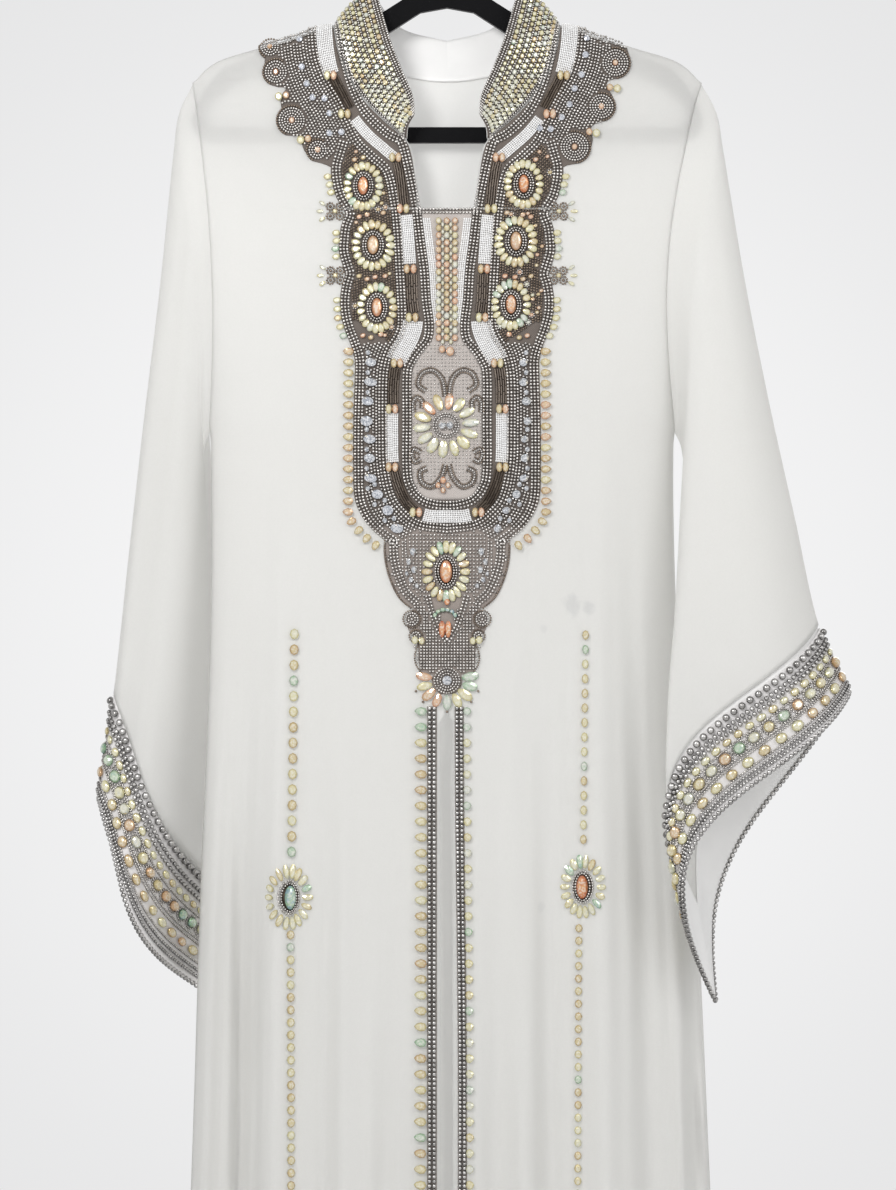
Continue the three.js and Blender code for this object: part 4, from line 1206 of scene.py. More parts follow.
class KAFTAN_OT_sleeves(bpy.types.Operator):
    """Make the two wide sleeves"""

    bl_idname = "kaftan.sleeves"
    bl_label = "Sleeves"

    def execute(self, context):
        for side in ("left", "right"):
            end = CUFF_START - CUFF_SEAM[side]

            def place(u, w, side=side, end=end):
                return sleeve_point(side, end * w, u % 1)

            def outward(centre, side=side):
                return out_of_sleeve(side, 0.43, centre)

            piece = cloth(
                f"sleeve_{side}_cloth", 96, 100, place, outward, "chiffon", "chiffon",
                context.scene.kaftan_cloth.wall / MM, (0.6, 0.45), closed=True,
            )
            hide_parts(f"sleeve_{side}")
        return {"FINISHED"}


# How the cuff's beads lie from its seam to the mouth: place across the cuff, step along it, size, tints.
CUFF_ROWS = table(
    "kind f pitch size tints",
    ("pearl", 0.05, 8.0, (6.2, 6.2, 5.6), None),
    ("pearl", 0.16, 4.7, (4.0, 4.0, 3.6), None),
    ("pearl", 0.235, 4.7, (3.8, 3.8, 3.4), None),
    ("cabochon", 0.325, 11.5, (8.8, 6.2, 3.6), (0.38, 0.4, 0.44, 0.5, 0.4)),
    ("silver_seed", 0.39, 2.3, (2.2, 2.2, 2.0), None),
    ("gem", 0.49, 14.5, (10.6, 8.8, 4.6), (0.62, 0.56, 0.33, 0.3, 0.5, 0.72, 0.14)),
    ("silver_seed", 0.59, 2.3, (2.2, 2.2, 2.0), None),
    ("silver_seed", 0.63, 2.3, (2.2, 2.2, 2.0), None),
    ("cabochon", 0.72, 16.6, (11.4, 8.2, 4.6), (0.48, 0.54, 0.6, 0.66, 0.42)),
    ("silver_seed", 0.80, 2.3, (2.2, 2.2, 2.0), None),
    ("pearl", 0.86, 3.0, (2.9, 2.9, 2.7), None),
    ("pearl", 0.92, 3.1, (3.0, 3.0, 2.8), None),
    ("pearl", 1.0, 4.4, (4.5, 4.5, 4.5), None),
)


class KAFTAN_OT_cuffs(bpy.types.Operator):
    """Make the beaded cuffs with their satin lining"""

    bl_idname = "kaftan.cuffs"
    bl_label = "Cuffs"

    def execute(self, context):
        gap = context.scene.kaftan_cloth.lining_gap / MM
        for side in ("left", "right"):
            start, tube = CUFF_START + CUFF_SEAM[side], SLEEVE_TUBE[side]

            def outward(centre, side=side):
                return out_of_sleeve(side, 0.93, centre)

            def outer(u, w, start=start, tube=tube):
                return tube.place(lerp(start, 1, w), u % 1, 0)

            def inner(u, w, tube=tube):
                t = lerp(CUFF_START - 0.012, 1, w)
                return tube.place(t, u % 1, -lerp(gap, 0.8, ramp((abs(w - 0.5) - 0.42) / 0.08)))

            way = (outward, "cuff_cloth", "cuff", 0.6, (0.6, 0.08), True)
            shell = cloth(f"cuff_{side}_cloth", 120, 22, outer, *way)
            way = (outward, "lining", "cuff", 0.5, (0.6, 0.08), True)
            lining = cloth(f"cuff_{side}_lining", 120, 22, inner, *way)
            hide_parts(f"cuff_{side}")
            made = cuff_beads(side, start).make()
        return {"FINISHED"}


def cuff_beads(side, start):
    beads = Beads(f"cuff_{side}", SLEEVE_TUBE[side], 0.1)
    for row in CUFF_ROWS:
        line = [Vector((lerp(start, 1, row["f"]), k / 160)) for k in range(161)]
        if not row["tints"]:
            on_edge = -3.2 if row["f"] == 1 else 0
            beads.row(row["kind"], line, row["pitch"], row["size"], lift=on_edge, ends=False)
            continue
        for place, toward in beads.steps(line, row["pitch"], ends=False):
            size = [s * beads.random.uniform(0.88, 1.05) for s in row["size"]]
            beads.sew(row["kind"], place.x, place.y, toward, size, beads.random.choice(row["tints"]))
            if row["kind"] == "gem":
                radii = (size[0] / 2 + 1.3, size[1] / 2 + 1.3)
                for k in range(16):
                    u, v = beads.nearby(place.x, place.y, k * math.pi / 8, radii)
                    beads.sew("silver_seed", u, v, toward, (2.1, 2.1, 1.9))
    return beads


# ---------------------------------------------------------------- the beadwork's chart

COLLAR_ROPE = [(109, 22), (102, 60), (95, 85), (82, 110), (62, 130), (47, 138)]
KEYHOLE_ROPE = [(47, 138), (44, 145), (38, 170), (33, 195), (31, 207)]
INNER_ROPE = [
    (31, 207), (30, 215), (27, 240), (23, 270), (21, 300), (18, 325), (20, 340), (28, 350), (36, 362),
    (40, 375), (40, 420), (40, 470), (36, 488), (26, 500), (12, 505), (0, 506),
]
CHANNEL = [
    (124, 20), (122, 45), (117, 70), (108, 90), (96, 112), (80, 132), (62, 148), (50, 160),
    (46, 180), (44, 200), (41, 215), (39, 240), (37, 270), (36, 300), (34, 320), (37, 335),
    (46, 352), (52, 364), (55, 385), (55, 411), (55, 440), (54, 465), (47, 490), (36, 508),
    (20, 516), (0, 517),
]
OUTER_ROPE = [
    (136, 22), (134, 50), (128, 70), (120, 85), (111, 100), (101, 120), (90, 140), (75, 155),
    (60, 170), (53, 200), (50, 225), (47, 275), (45, 320), (48, 335), (57, 350), (62, 365),
    (64, 385), (64, 430), (63, 465), (57, 495), (46, 512), (28, 525), (0, 529),
]
SCALLOP_ROPE = [
    (104, 140), (107, 150), (111, 165), (110, 180), (106, 195), (99, 207), (97, 214), (101, 225),
    (103, 240), (103, 252), (99, 266), (97, 274), (100, 285), (102, 300), (101, 315), (97, 330),
    (91, 345), (87, 360), (87, 380), (88, 420), (88, 470), (87, 497), (82, 512), (74, 524),
    (62, 535), (50, 543),
]
SHIELD_EDGE = [(62, 541), (61, 560), (56, 580), (47, 598), (36, 608)]
# Channel stretches by chart row: what is sewn along each.
CHANNEL_PARTS = table(
    "kind top foot",
    ("white", 20, 68), ("bronze", 78, 105), ("white", 121, 152), ("bronze", 163, 201),
    ("white", 217, 262), ("bronze", 275, 310), ("white", 325, 357), ("bronze", 371, 402),
    ("white", 418, 461), ("bronze", 473, 508), ("base", 511, 511),
)
CHANNEL_STONES = [
    (117, 73), (103, 112), (52, 156), (44, 208), (37, 269), (35, 318), (50, 364), (55, 410),
    (55, 468), (31, 513),
]
YOKE_MEDALLIONS = {
    "left": table(
        "column row wide high petals tint",
        (84, 185, 20, 25, 19, 0.9), (74, 245, 22, 26, 19, 0.76), (70, 308, 20, 26, 19, 0.84),
    ),
    "right": table(
        "column row wide high petals tint",
        (77, 183, 20, 25, 19, 0.92), (69, 241, 22, 26, 19, 0.72), (64, 305, 20, 26, 19, 0.86),
    ),
}
SCALLOP_DISCS = {
    "left": [(178, 44, 11), (172, 69, 13), (156, 118, 15), (130, 148, 11)],
    "right": [(169, 60, 15), (155, 104, 14), (128, 145, 16)],
}
SCALLOP_STONES = {
    "left": [(169, 94), (147, 138)],
    "right": [(171, 86), (150, 131)],
}
SHOULDER_CRYSTALS = {
    "left": [(148, 37), (146, 64), (141, 81), (135, 95), (123, 96), (118, 111), (118, 131), (106, 130)],
    "right": [(140, 36), (139, 52), (135, 72), (128, 86), (123, 102), (115, 115), (104, 127), (93, 126)],
}
U_CRYSTALS = [
    (76, 363), (76, 383), (79, 402), (80, 422), (77, 440), (77, 459), (76, 479), (69, 495),
    (59, 511), (50, 529),
]
EDGE_CHIPS = [175, 183, 191, 232, 240, 248, 256, 300, 309, 318, 327, 336]
FLOWER_ROWS = (210, 275)
SHIELD_CRYSTALS = (
    (34, 552, 6), (38, 562, 5), (33, 570, 5.6), (36, 580, 4.6), (30, 586, 4.4), (40, 574, 3.8),
)
NARROW_END = ((36, 599), (40, 612), (41, 622), (35, 630), (33, 645), (34, 656), (31, 666), (20, 671))
NARROW_SIDE = ((29, 645), (32, 655), (31, 664), (26, 672))
VEE = ((19, 596), (15, 612), (9, 628), (1, 640))
LOOPS = ((35, 619, 8.5), (31, 636, 6.5))  # of the narrow end: column, row, radius
CORNER_DROPS = ((95, 522, 0.5), (88, 531, 0.9), (80, 539, 1.3), (71, 546, 1.6))  # column, row, how steep
FAN_ROW, FAN_GROUND = 680, 12.4  # the end fan's middle, and how far its beaded cloth reaches round it
# Scrolls of the cartouche, of a plain kind.
SCROLLS = (
    ((2, 396), (5, 380), (14, 371), (25, 374), (29, 385), (22, 391)),
    ((25, 408), (25, 402), (30, 398), (34, 403), (34, 412)),
    ((27, 453), (33, 450), (35, 456), (32, 462), (27, 460)),
    ((2, 466), (6, 478), (15, 487), (25, 483), (27, 473), (21, 469)),
)
# Columns of chips in the centre insert, and whether they are the small ones; then the stones at its ends.
INSERT_COLUMNS = ((-8.5, False), (-4.4, True), (-0.3, False), (3.8, True), (8, False))
INSERT_ENDS = (
    (-5, 350, 6.2), (3, 352, 8.0), (-1, 338, 5), (-4, 481, 5.6), (-9, 486, 5), (1, 486, 5), (-4, 491, 5),
)
# Stones of the bronze field: column, row, tint.
FIELD_STONES = (
    (80, 214, 0.8), (88, 216, 0.78), (95, 212, 0.6), (72, 277, 0.82), (80, 279, 0.7), (88, 276, 0.6),
    (62, 276, 0.8), (66, 335, 0.8), (76, 338, 0.6), (84, 336, 0.8), (84, 156, 0.6), (93, 158, 0.75),
    (72, 160, 0.8), (64, 212, 0.7),
)
PANEL_TOP, FAN_TOP, PANEL_FOOT = -288.5, -668.5, -686.5
FIELD_FOOT = 346  # the chart's row where the yoke's bronze field ends and the panel's crystals begin
CHANNEL_SPLIT = 216  # the channel's beads belong to the yoke above this row, and to the front panel below it
CHANNEL_END = 530
YELLOWS = (0.36, 0.4, 0.4, 0.44, 0.5, 0.55, 0.2)
SILVER = (2.15, 2.15, 2.0)
WHITE = (2.6, 1.8, 1.3)
WHITE_LANE, BUGLE_LANE = 1.5, 1.9  # from one lane of the channel to the next


def row_of(point):
    return (CHART_TOP - point.y) / STEP


def level_of(row):
    return chart(0, row).y


def down_middle(*span):
    """A line down the middle between two levels."""
    return [Vector((0, z)) for z in spread(span)]


def reach_of(points, less=0.0):
    """How far from the middle a line of the chart runs, in millimetres, at a level."""
    rows = [{"z": level_of(row), "half": column * STEP - less} for column, row in points]
    return through(rows, "z", "half")


shield_at, scallop_at = reach_of(SHIELD_EDGE), reach_of(SCALLOP_ROPE)
inner_at, outer_at = reach_of(INNER_ROPE[:-1]), reach_of(OUTER_ROPE[:-1])
yoke_edge_at, plastron_edge_at = through(YOKE_EDGE, "z", "half"), through(PLASTRON_EDGE, "z", "half")
SHIELD_FOOT, SCALLOP_FOOT = level_of(SHIELD_EDGE[-1][1]), level_of(SCALLOP_ROPE[-1][1])
FAN_Z = level_of(FAN_ROW)


def medallion(beads, centre, wide, high, petals, tint, lift=1.5, tints=YELLOWS):
    """An oval stone in two rings of silver beads on a bronze plate, with petals round it."""
    rx, rz = wide * STEP, high * STEP
    long, across = rz * 0.72, rx * 0.5
    beads.stone("bronze_seed", centre, (long + 8.8, across + 8.8, 1.3), 0.45, lift - 0.1)
    beads.stone("gem", centre, (long, across, 4.0), tint, lift + 0.6)
    for k in range(2):
        grow = 1.6 + k * 2.1
        ring_lift = lift + 0.2 - 0.4 * k
        beads.ring("silver_seed", centre, across / 2 + grow, long / 2 + grow, SEED, SILVER, lift=ring_lift)
    inner = (across / 2 + 4.2 + 1.4, long / 2 + 4.2 + 1.0)
    beads.petals(centre, inner, (rx, rz), petals, 5.2, tints, lift - 0.8)


def yoke_half(side, z):
    """How far from the middle the yoke's beaded cloth reaches, over its scallops and the scalloped rope."""
    half = yoke_edge_at(z) - 5
    for column, row, radius in SCALLOP_DISCS[side]:
        off = z - level_of(row)
        if abs(off) < radius * STEP + 1:
            half = max(half, column * STEP + math.sqrt((radius * STEP + 1) ** 2 - off**2) - 0.3)
    if z < level_of(150):
        half = max(half, scallop_at(z) + 4.6)
    return half


def sew_yoke(side, sign, beads):
    """The shoulder's and keyhole's beads on one side."""
    outer, scallops = on_chart(OUTER_ROPE, sign), on_chart(SCALLOP_ROPE, sign)
    beads.rope("silver_seed", on_chart(COLLAR_ROPE, sign), 3)
    beads.rope("silver_seed", on_chart(KEYHOLE_ROPE, sign), 3)
    beads.rope("silver_seed", outer, 3, keep=lambda p: row_of(p) < FIELD_FOOT - 1)
    beads.rope("silver_seed", scallops, 3, keep=lambda p: row_of(p) < FIELD_FOOT)
    # medallions and the stones between them, in the bronze field
    for m in YOKE_MEDALLIONS[side]:
        medallion(beads, chart(m["column"], m["row"], sign), m["wide"], m["high"], m["petals"], m["tint"])
    nearer = 4 if side == "right" else 0
    for column, row, tint in FIELD_STONES:
        place = chart(column - nearer, row, sign)
        if beads.free(place, 1.4):
            beads.stone("chip", place, (4.6, 3.8, 3), tint, 0.4, (1, 0.4))
    field_in = [p for p in outer if 140 < row_of(p) < FIELD_FOOT]
    field = field_in + [p for p in scallops if row_of(p) < FIELD_FOOT][::-1]
    for _ in range(130):
        z = beads.random.uniform(-400, -238)
        place = Vector((sign * beads.random.uniform(38, 92), z))
        if inside(field, place) and beads.free(place, 1.8):
            if beads.random.random() < 0.45:
                beads.ring("silver_seed", place, 2.1, 2.1, 2.0, (1.8, 1.8, 1.6), 0.4, lift=0.3)
            tint = beads.random.choice((0.8, 0.76, 0.6, 0.3))
            beads.stone("chip", place, (3.4, 3.0, 2.4), tint, 0.3, (1, 0.4))
    beads.fill("bronze_seed", field_in, sign, field, first=1.2)
    # epaulette
    away = 20 if sign > 0 else 160
    for column, row, steps in SCALLOP_DISCS[side]:
        centre, ring = chart(column, row, sign), steps * STEP
        beads.ring("bronze_seed", centre, ring, ring, SEED, SILVER, 0.6, start=away - 100, end=away + 80)
        while ring > 2 * SEED:
            ring -= SEED
            beads.ring("silver_seed", centre, ring, ring, SEED, SILVER, 0.7, lift=0.2)
        beads.stone("chip", centre, (5, 4.4, 3), 0.78, 0.4)
    for column, row in SHOULDER_CRYSTALS[side]:
        beads.stone("crystal", chart(column, row, sign), (5.4, 5.4, 3.2), 0.8, 0.2)
    for column, row in SCALLOP_STONES[side]:
        place = chart(column, row, sign)
        beads.stone("chip", place, (7, 6.4, 3.6), 0.42, 0.2)
        beads.stone("chip", place, (6, 5.4, 3.4), 0.7, 0.2, by=(-sign * 6, 1))
    rim = [Vector((sign * (yoke_half(side, round(z, 2)) - 1.4), z)) for z in spread((-150, -248, 60))]
    shoulder_part = [p for p in outer if row_of(p) < 150]
    beads.fill("silver_seed", shoulder_part, sign, shoulder_part + rim[::-1], pitch=2.55, first=2.1)
    # chips and flowers outside the scallops
    for row in EDGE_CHIPS:
        z = level_of(row)
        x = scallop_at(z) + beads.random.uniform(6.4, 7.6)
        beads.sew("chip", sign * x, z, (1, 0.2), (6.6, 5.2, 3), beads.random.choice(YELLOWS), -0.8)
    for row in FLOWER_ROWS:
        z = level_of(row)
        flower(beads, Vector((sign * (scallop_at(z) + 12), z)), sign)


def flower(beads, centre, sign):
    """Discs of bronze beads round a middle, with a sprig of petals beyond."""
    for k in range(4):
        a = math.radians(90 * k + 45)
        disc = centre + Vector((math.cos(a), math.sin(a))) * 5.6
        beads.ring("bronze_seed", disc, 3.0, 3.0, 2.1, (2.1, 2.1, 1.9), lift=-0.6)
        beads.stone("bronze_seed", disc, (3.0, 3.0, 2.2), lift=-0.6)
    beads.stone("chip", centre, (4, 4, 2.8), 0.5, -0.4)
    for k in (-1, 0, 1):
        a = math.radians(32 * k)
        out = Vector((sign * math.cos(a), math.sin(a)))
        tint = beads.random.choice((0.3, 0.36, 0.4))
        beads.stone("petal", centre + out * 12.5, (6, 3, 2), tint, -0.8, out)


def channel_half(row):
    """Half the channel's width in millimetres at a row of the chart, between the two ropes."""
    if row < 212:
        return lerp(6.8, 4.5, ramp((row - 20) / 150))
    z = level_of(min(row, 470))
    return (outer_at(z) - inner_at(z)) / 2 - 4.1


def sew_channel(sign, beads, top, foot):
    """The white and bronze channel between two silver ropes, from one row of the chart to another."""
    channel = on_chart(CHANNEL, sign)
    for column, row in CHANNEL_STONES:
        if top <= row < foot:
            for off in (-2.6, 2.6):
                tint = beads.random.choice((0.42, 0.5, 0.6, 0.7, 0.78))
                beads.stone("chip", chart(column, row, sign), (8.0, 5.2, 4.2), tint, 0.6, by=(off, 0))
    for part in CHANNEL_PARTS:
        if not top <= part["top"] < foot:
            continue
        line = [p for p in channel if part["top"] - 4 <= row_of(p) <= part["foot"] + 4]
        if part["kind"] == "base":
            line = [p for p in channel if abs(p.x) < 24 * STEP and row_of(p) > 500]
        bronze = part["kind"] == "bronze"
        lane = BUGLE_LANE if bronze else WHITE_LANE
        lanes = round(channel_half((part["top"] + part["foot"]) / 2) * 2 / lane)
        for k in range(lanes):
            moved = beside(line, (k - (lanes - 1) / 2) * lane)
            if bronze:
                pitch = (7.4, 9.6)[k % 2]
                beads.row("bugle", moved, pitch, (pitch * 0.95, 1.8, 1.8), ends=False)
            else:
                beads.row("white_seed", moved, 1.9, WHITE)


def outlined(beads, points, hand):
    """A scroll of a plain kind: a row of silver beads between two of bronze."""
    line = on_chart(points, hand)
    beads.rope("silver_seed", line, 1, pitch=2.0, lift=0.4)
    for off in (-1.9, 1.9):
        beads.row("bronze_seed", beside(line, off), 1.9, (1.9, 1.8, 1.8), lift=0.4)


def sew_sides(beads, side, sign):
    """One half of the front panel: its ropes, crystals, drops, shield and narrow end."""
    inner, outer, scallops = (on_chart(rope, sign) for rope in (INNER_ROPE, OUTER_ROPE, SCALLOP_ROPE))
    beads.rope("silver_seed", inner, 3)
    beads.rope("silver_seed", outer, 3, keep=lambda p: row_of(p) >= FIELD_FOOT - 1)
    beads.rope("silver_seed", scallops, 3, keep=lambda p: row_of(p) >= FIELD_FOOT)
    for column, row in U_CRYSTALS:
        place = chart(column, row, sign)
        size = (10.4, 8.0, 4.6) if side == "left" else (7.2, 6.6, 4.2)
        size = [s * beads.random.uniform(0.85, 1.05) for s in size]
        beads.stone("crystal", place, size, beads.random.random() * 0.6, 0.3, (1, 0.15 * sign))
        for off in (-10 * STEP, 10 * STEP):
            if beads.free(Vector((place.x + sign * 2.4, place.y + off)), 1.6):
                beads.stone("crystal", place, (4.4, 4.0, 2.8), 0.2, by=(sign * 2.4, off))
    u_in = [p for p in outer if row_of(p) > 342 and abs(p.x) > 22 * STEP]
    u_out = [p for p in scallops if row_of(p) > 342]
    beads.fill("silver_seed", u_in, sign, u_in + u_out[::-1], pitch=2.6, first=2.0)
    for k in range(16):
        tint = beads.random.uniform(0.46, 0.74)
        beads.stone("drop", chart(98.5, 352 + k * 10.7, sign), (8.8, 6.3, 4.2), tint, -0.4, (sign, 0.05))
    for column, row, fall in CORNER_DROPS:
        tint = beads.random.uniform(0.46, 0.7)
        beads.stone("drop", chart(column, row, sign), (8.6, 6.0, 4.2), tint, -0.4, (sign, -fall))
    shield = on_chart(SHIELD_EDGE, sign)
    beads.rope("bronze_seed", shield, 1, pitch=1.9)
    beads.rope("silver_seed", beside(shield, -sign * 7), 3)
    beads.row("silver_seed", beside(shield, -sign * 17), SEED, SILVER)
    for column, row, wide in SHIELD_CRYSTALS:
        beads.stone("crystal", chart(column, row, sign), (wide, wide * 0.8, 3.0), 0.1, 0.2)
    # the narrow end: two beaded loops, a pair of stones, then a field that runs to the fan
    for column, row, steps in LOOPS:
        place, ring = chart(column, row, sign), steps * STEP
        beads.ring("bronze_seed", place, ring, ring, 1.9, (1.8, 1.8, 1.7))
        ring -= 2.1
        while ring > 1:
            beads.ring("silver_seed", place, ring, ring, 2.1, (2.1, 2.1, 1.9))
            ring -= 2.1
    place = chart(32, 640, sign)
    beads.stone("chip", place, (6.6, 5.4, 3.8), 0.42, 1.0)
    beads.stone("chip", place, (6.0, 5.0, 3.6), 0.4, 0.9, by=(-sign * 5.4, -0.6))
    beads.rope("bronze_seed", on_chart(NARROW_SIDE, sign), 1, pitch=1.9)
    beads.rope("silver_seed", on_chart(VEE, sign), 2, lift=0.2)


def sew_plastron(beads):
    """The front panel from the keyhole's foot to the top of the slit."""
    for side, sign in SIDES:
        sew_sides(beads, side, sign)
        for points in SCROLLS:
            outlined(beads, points, sign)
    # centre insert
    for k in range(2):
        line = [chart(lerp(-30, 30, f / 20), 208 + k * 3.4) for f in range(21)]
        beads.row("silver_seed", line, ROPE_BEAD, (2.6, 2.6, 2.3))
    levels = [level_of(218 + f * 11.6) for f in range(10)]
    for sign in (-1, 1):
        for offset in (-3.4, -1.7, 0, 1.7):
            line = [Vector((sign * (inner_at(z) - 6.6 + offset), z)) for z in levels]
            beads.row("white_seed", line, 1.9, (2.6, 1.9, 1.3))
    for column, small in INSERT_COLUMNS:
        size = (4.2, 3.2, 2.6) if small else (5.6, 4.8, 3.4)
        for k in range(17):
            place = chart(column, 220 + k * 7.4 + (3.7 if small else 0))
            tint = 0.3 if small else beads.random.choice((0.74, 0.6, 0.5, 0.3, 0.8))
            beads.stone("chip", place, size, tint, 0.2 if small else 0.4)
    for column, row, wide in INSERT_ENDS:
        beads.stone("chip", chart(column, row), (wide, wide * 0.85, 3.6), 0.8, 0.4)
    # centre flower
    middle = chart(-1, 426)
    for off in (-3.2, 3.2):
        beads.stone("crystal", middle, (6.2, 5.8, 4), 0.0, 1.6, by=(off, 0))
    for radius in (8.2, 10.4):
        beads.ring("silver_seed", middle, radius, radius * 0.95, SEED, SILVER, lift=0.9)
    tints = (0.38, 0.4, 0.42, 0.5, 0.3, 0.76, 0.36)
    beads.petals(middle, (12.4, 12.4), (27, 26.5), 14, 7.4, tints, 0.4, start=6, end=366)
    # shield medallion
    medallion(beads, chart(-1, 572), 24, 31, 20, 0.88, tints=(0.4, 0.44, 0.5, 0.14, 0.36, 0.6))
    under = chart(-2, 617)
    beads.ring("chip", under, 8.4, 6, 3.6, (4.2, 3.6, 3.0), 0.1, 0.2, start=15, end=165)
    for off in (-2.6, 2.6):
        beads.stone("petal", under, (14, 5.2, 3.8), 0.9, 0.6, by=(off, -10))
    beads.stone("chip", chart(0, 602), (5.4, 4.6, 3.2), 0.9, 0.4)
    # end fan
    centre = chart(0, FAN_ROW)
    beads.stone("crystal", centre, (7.6, 7.6, 4.4), 0.3, 1.4)
    for radius in (5.6, 7.9, 10.2):
        beads.ring("silver_seed", centre, radius, radius, SEED, SILVER, lift=0.6)
    tints = (0.4, 0.44, 0.2, 0.38, 0.76)
    beads.petals(centre, (11.4, 11.2), (26, 24), 9, 7.0, tints, 0.4, start=-190, end=10)
    for k in range(7):
        a = math.radians(lerp(-160, -20, k / 6))
        tip = centre + Vector((math.cos(a) * 27, math.sin(a) * 25.4))
        beads.stone("bronze_seed", tip, (2.4, 2.4, 2.0), toward=(1, 0))
    # what is left bare is filled last
    vee = [chart(-17, 590), chart(17, 590), chart(0, 637)]
    for sign in (-1, 1):
        outline = [Vector((0, -548)), *[chart(c, r, sign) for c, r in SHIELD_EDGE], Vector((0, -617))]
        middle = down_middle(-548, -612, 20)
        beads.fill("silver_seed", middle, sign, outline, 0.5, 2.9, (2.2, 2.2, 1.9), vee)
        outline = [chart(0, 599), *[chart(c, r, sign) for c, r in NARROW_END], chart(0, 672)]
        middle = down_middle(-608, -668, 20)
        beads.fill("silver_seed", middle, sign, outline, 0.5, 2.5, bare=vee)
        edge = [Vector((sign * (inner_at(z) - 4.6), z)) for z in spread((-398, -520, 20))]
        outline = [Vector((0, -398)), *edge, Vector((0, -520))]
        middle = down_middle(-398, -526, 30)
        beads.fill("silver_seed", middle, sign, outline, 0.5, 2.9, (1.6, 1.6, 1.4))


def laid_ground(name, levels, inner_of, outer_of, look, lift, columns, sign=1):
    """Beaded cloth laid on the front between two edges, each a distance from the middle at a level."""

    def place(u, w):
        z = level_in(levels, w)
        return FRONT.place(sign * lerp(inner_of(z), outer_of(z), u), z, lift)

    return cloth(name, columns, len(levels) - 1, place, frontward, look, "beadwork", 0.5)


class KAFTAN_OT_yoke(bpy.types.Operator):
    """Make the beaded shoulder panels"""

    bl_idname = "kaftan.yoke"
    bl_label = "Yoke"

    def execute(self, context):
        levels = spread((-137, KEYHOLE_FOOT_Z + 0.8, 90))
        for side, sign in SIDES:

            def place(u, w, side=side, sign=sign):
                level = level_in(levels, w)
                outer = 120
                for _ in range(12):
                    outer = lerp(outer, yoke_half(side, min(-149, sloped(level, outer))), 0.6)
                x = lerp(neck_at(level) + 1.5, outer, u)
                return FRONT.place(sign * x, sloped(level, x), 0.8)

            name = f"yoke_{side}_ground"
            ground = cloth(name, 26, 90, place, frontward, "grey_net", "beadwork", 0.5, (0.1, 0.16))
            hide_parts(f"yoke_{side}")
            beads = Beads(f"yoke_{side}", FRONT)
            sew_yoke(side, sign, beads)
            sew_channel(sign, beads, 0, CHANNEL_SPLIT)
            made = beads.make()
            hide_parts(*[f"yoke_medallion_{k}_{side}" for k in (1, 2, 3)])
        return {"FINISHED"}


class KAFTAN_OT_plastron(bpy.types.Operator):
    """Make the beaded front panel"""

    bl_idname = "kaftan.plastron"
    bl_label = "Front panel"

    def execute(self, context):
        levels = spread((PANEL_TOP, FAN_TOP, 140), (FAN_TOP, PANEL_FOOT, 8))

        def reach(z):
            if z < FAN_TOP:
                return math.sqrt(FAN_GROUND**2 - (z - FAN_Z) ** 2)
            edge = plastron_edge_at(z) - 1.5
            if z > SCALLOP_FOOT:
                return max(edge, scallop_at(z) + 4.4)
            return max(edge, shield_at(z) + 1.2) if z > SHIELD_FOOT else edge

        ground = laid_ground("plastron_ground", levels, lambda z: -reach(z), reach, "panel_net", 0.8, 46)
        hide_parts("plastron")
        half = reach_of(INNER_ROPE, 4.0)
        levels = spread((-289.5, -528, 90))
        inlay = laid_ground("plastron_inlay", levels, lambda z: -half(z), half, "pale_net", 1.15, 24)
        beads = Beads("plastron", FRONT)
        sew_plastron(beads)
        for sign in (-1, 1):
            sew_channel(sign, beads, CHANNEL_SPLIT, CHANNEL_END)
        made = beads.make()
        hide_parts("lower_medallion")
        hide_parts("centre_medallion", "end_medallion")
        area_of(ground)
        area_of(inlay)
        return {"FINISHED"}


# Rows across the collar, from its seam (0) to its free edge (1).
COLLAR_SEEDS = (0.985, 0.935, 0.885, 0.775, 0.665, 0.545, 0.435, 0.32, 0.2, 0.09, 0.04)
COLLAR_CHIPS = (0.83, 0.72, 0.605, 0.49, 0.378, 0.26, 0.145)
COLLAR_TINTS = {"front": (0.3, 0.33, 0.3, 0.5), "back": (0.4, 0.42, 0.5, 0.58, 0.3, 0.25, 0.38)}


class KAFTAN_OT_collar(bpy.types.Operator):
    """Make the beaded stand collar"""

    bl_idname = "kaftan.collar"
    bl_label = "Collar"

    def execute(self, context):
        def outward(centre):
            return Vector((centre.x, centre.y, 0))

        def outer(u, w):
            return COLLAR_BAND.place(lerp(-0.999, 0.999, u), lerp(0.01, 0.99, w), 0)

        def inner(u, w):
            return COLLAR_BAND.place(lerp(-0.999, 0.999, u), lerp(-0.07, 0.99, w), -1.2)

        ground = cloth("collar_ground", 120, 14, outer, outward, "grey_net", "beadwork", 0.7, (0.5, 0.05))
        lining = cloth("collar_lining", 120, 14, inner, outward, "lining", "chiffon", 0.6, (0.5, 0.05))
        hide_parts("collar")
        beads = Beads("collar", COLLAR_BAND, 0.1)
        count = 200
        for f in COLLAR_SEEDS:
            line = [Vector((lerp(-0.99, 0.99, k / count), f)) for k in range(count + 1)]
            beads.row("silver_seed", line, SEED, SILVER)
        for f in COLLAR_CHIPS:
            line = [Vector((lerp(-0.975, 0.975, i / count), f)) for i in range(count + 1)]
            for place, toward in beads.steps(line, 4.9):
                tint = beads.random.choice(COLLAR_TINTS["front" if abs(place.x) > 0.78 else "back"])
                grow = beads.random.uniform(0.8, 1.15)
                beads.sew("chip", place.x, place.y, toward, (4.3 * grow, 3.5 * grow, 2.6), tint)
        made = beads.make()
        return {"FINISHED"}


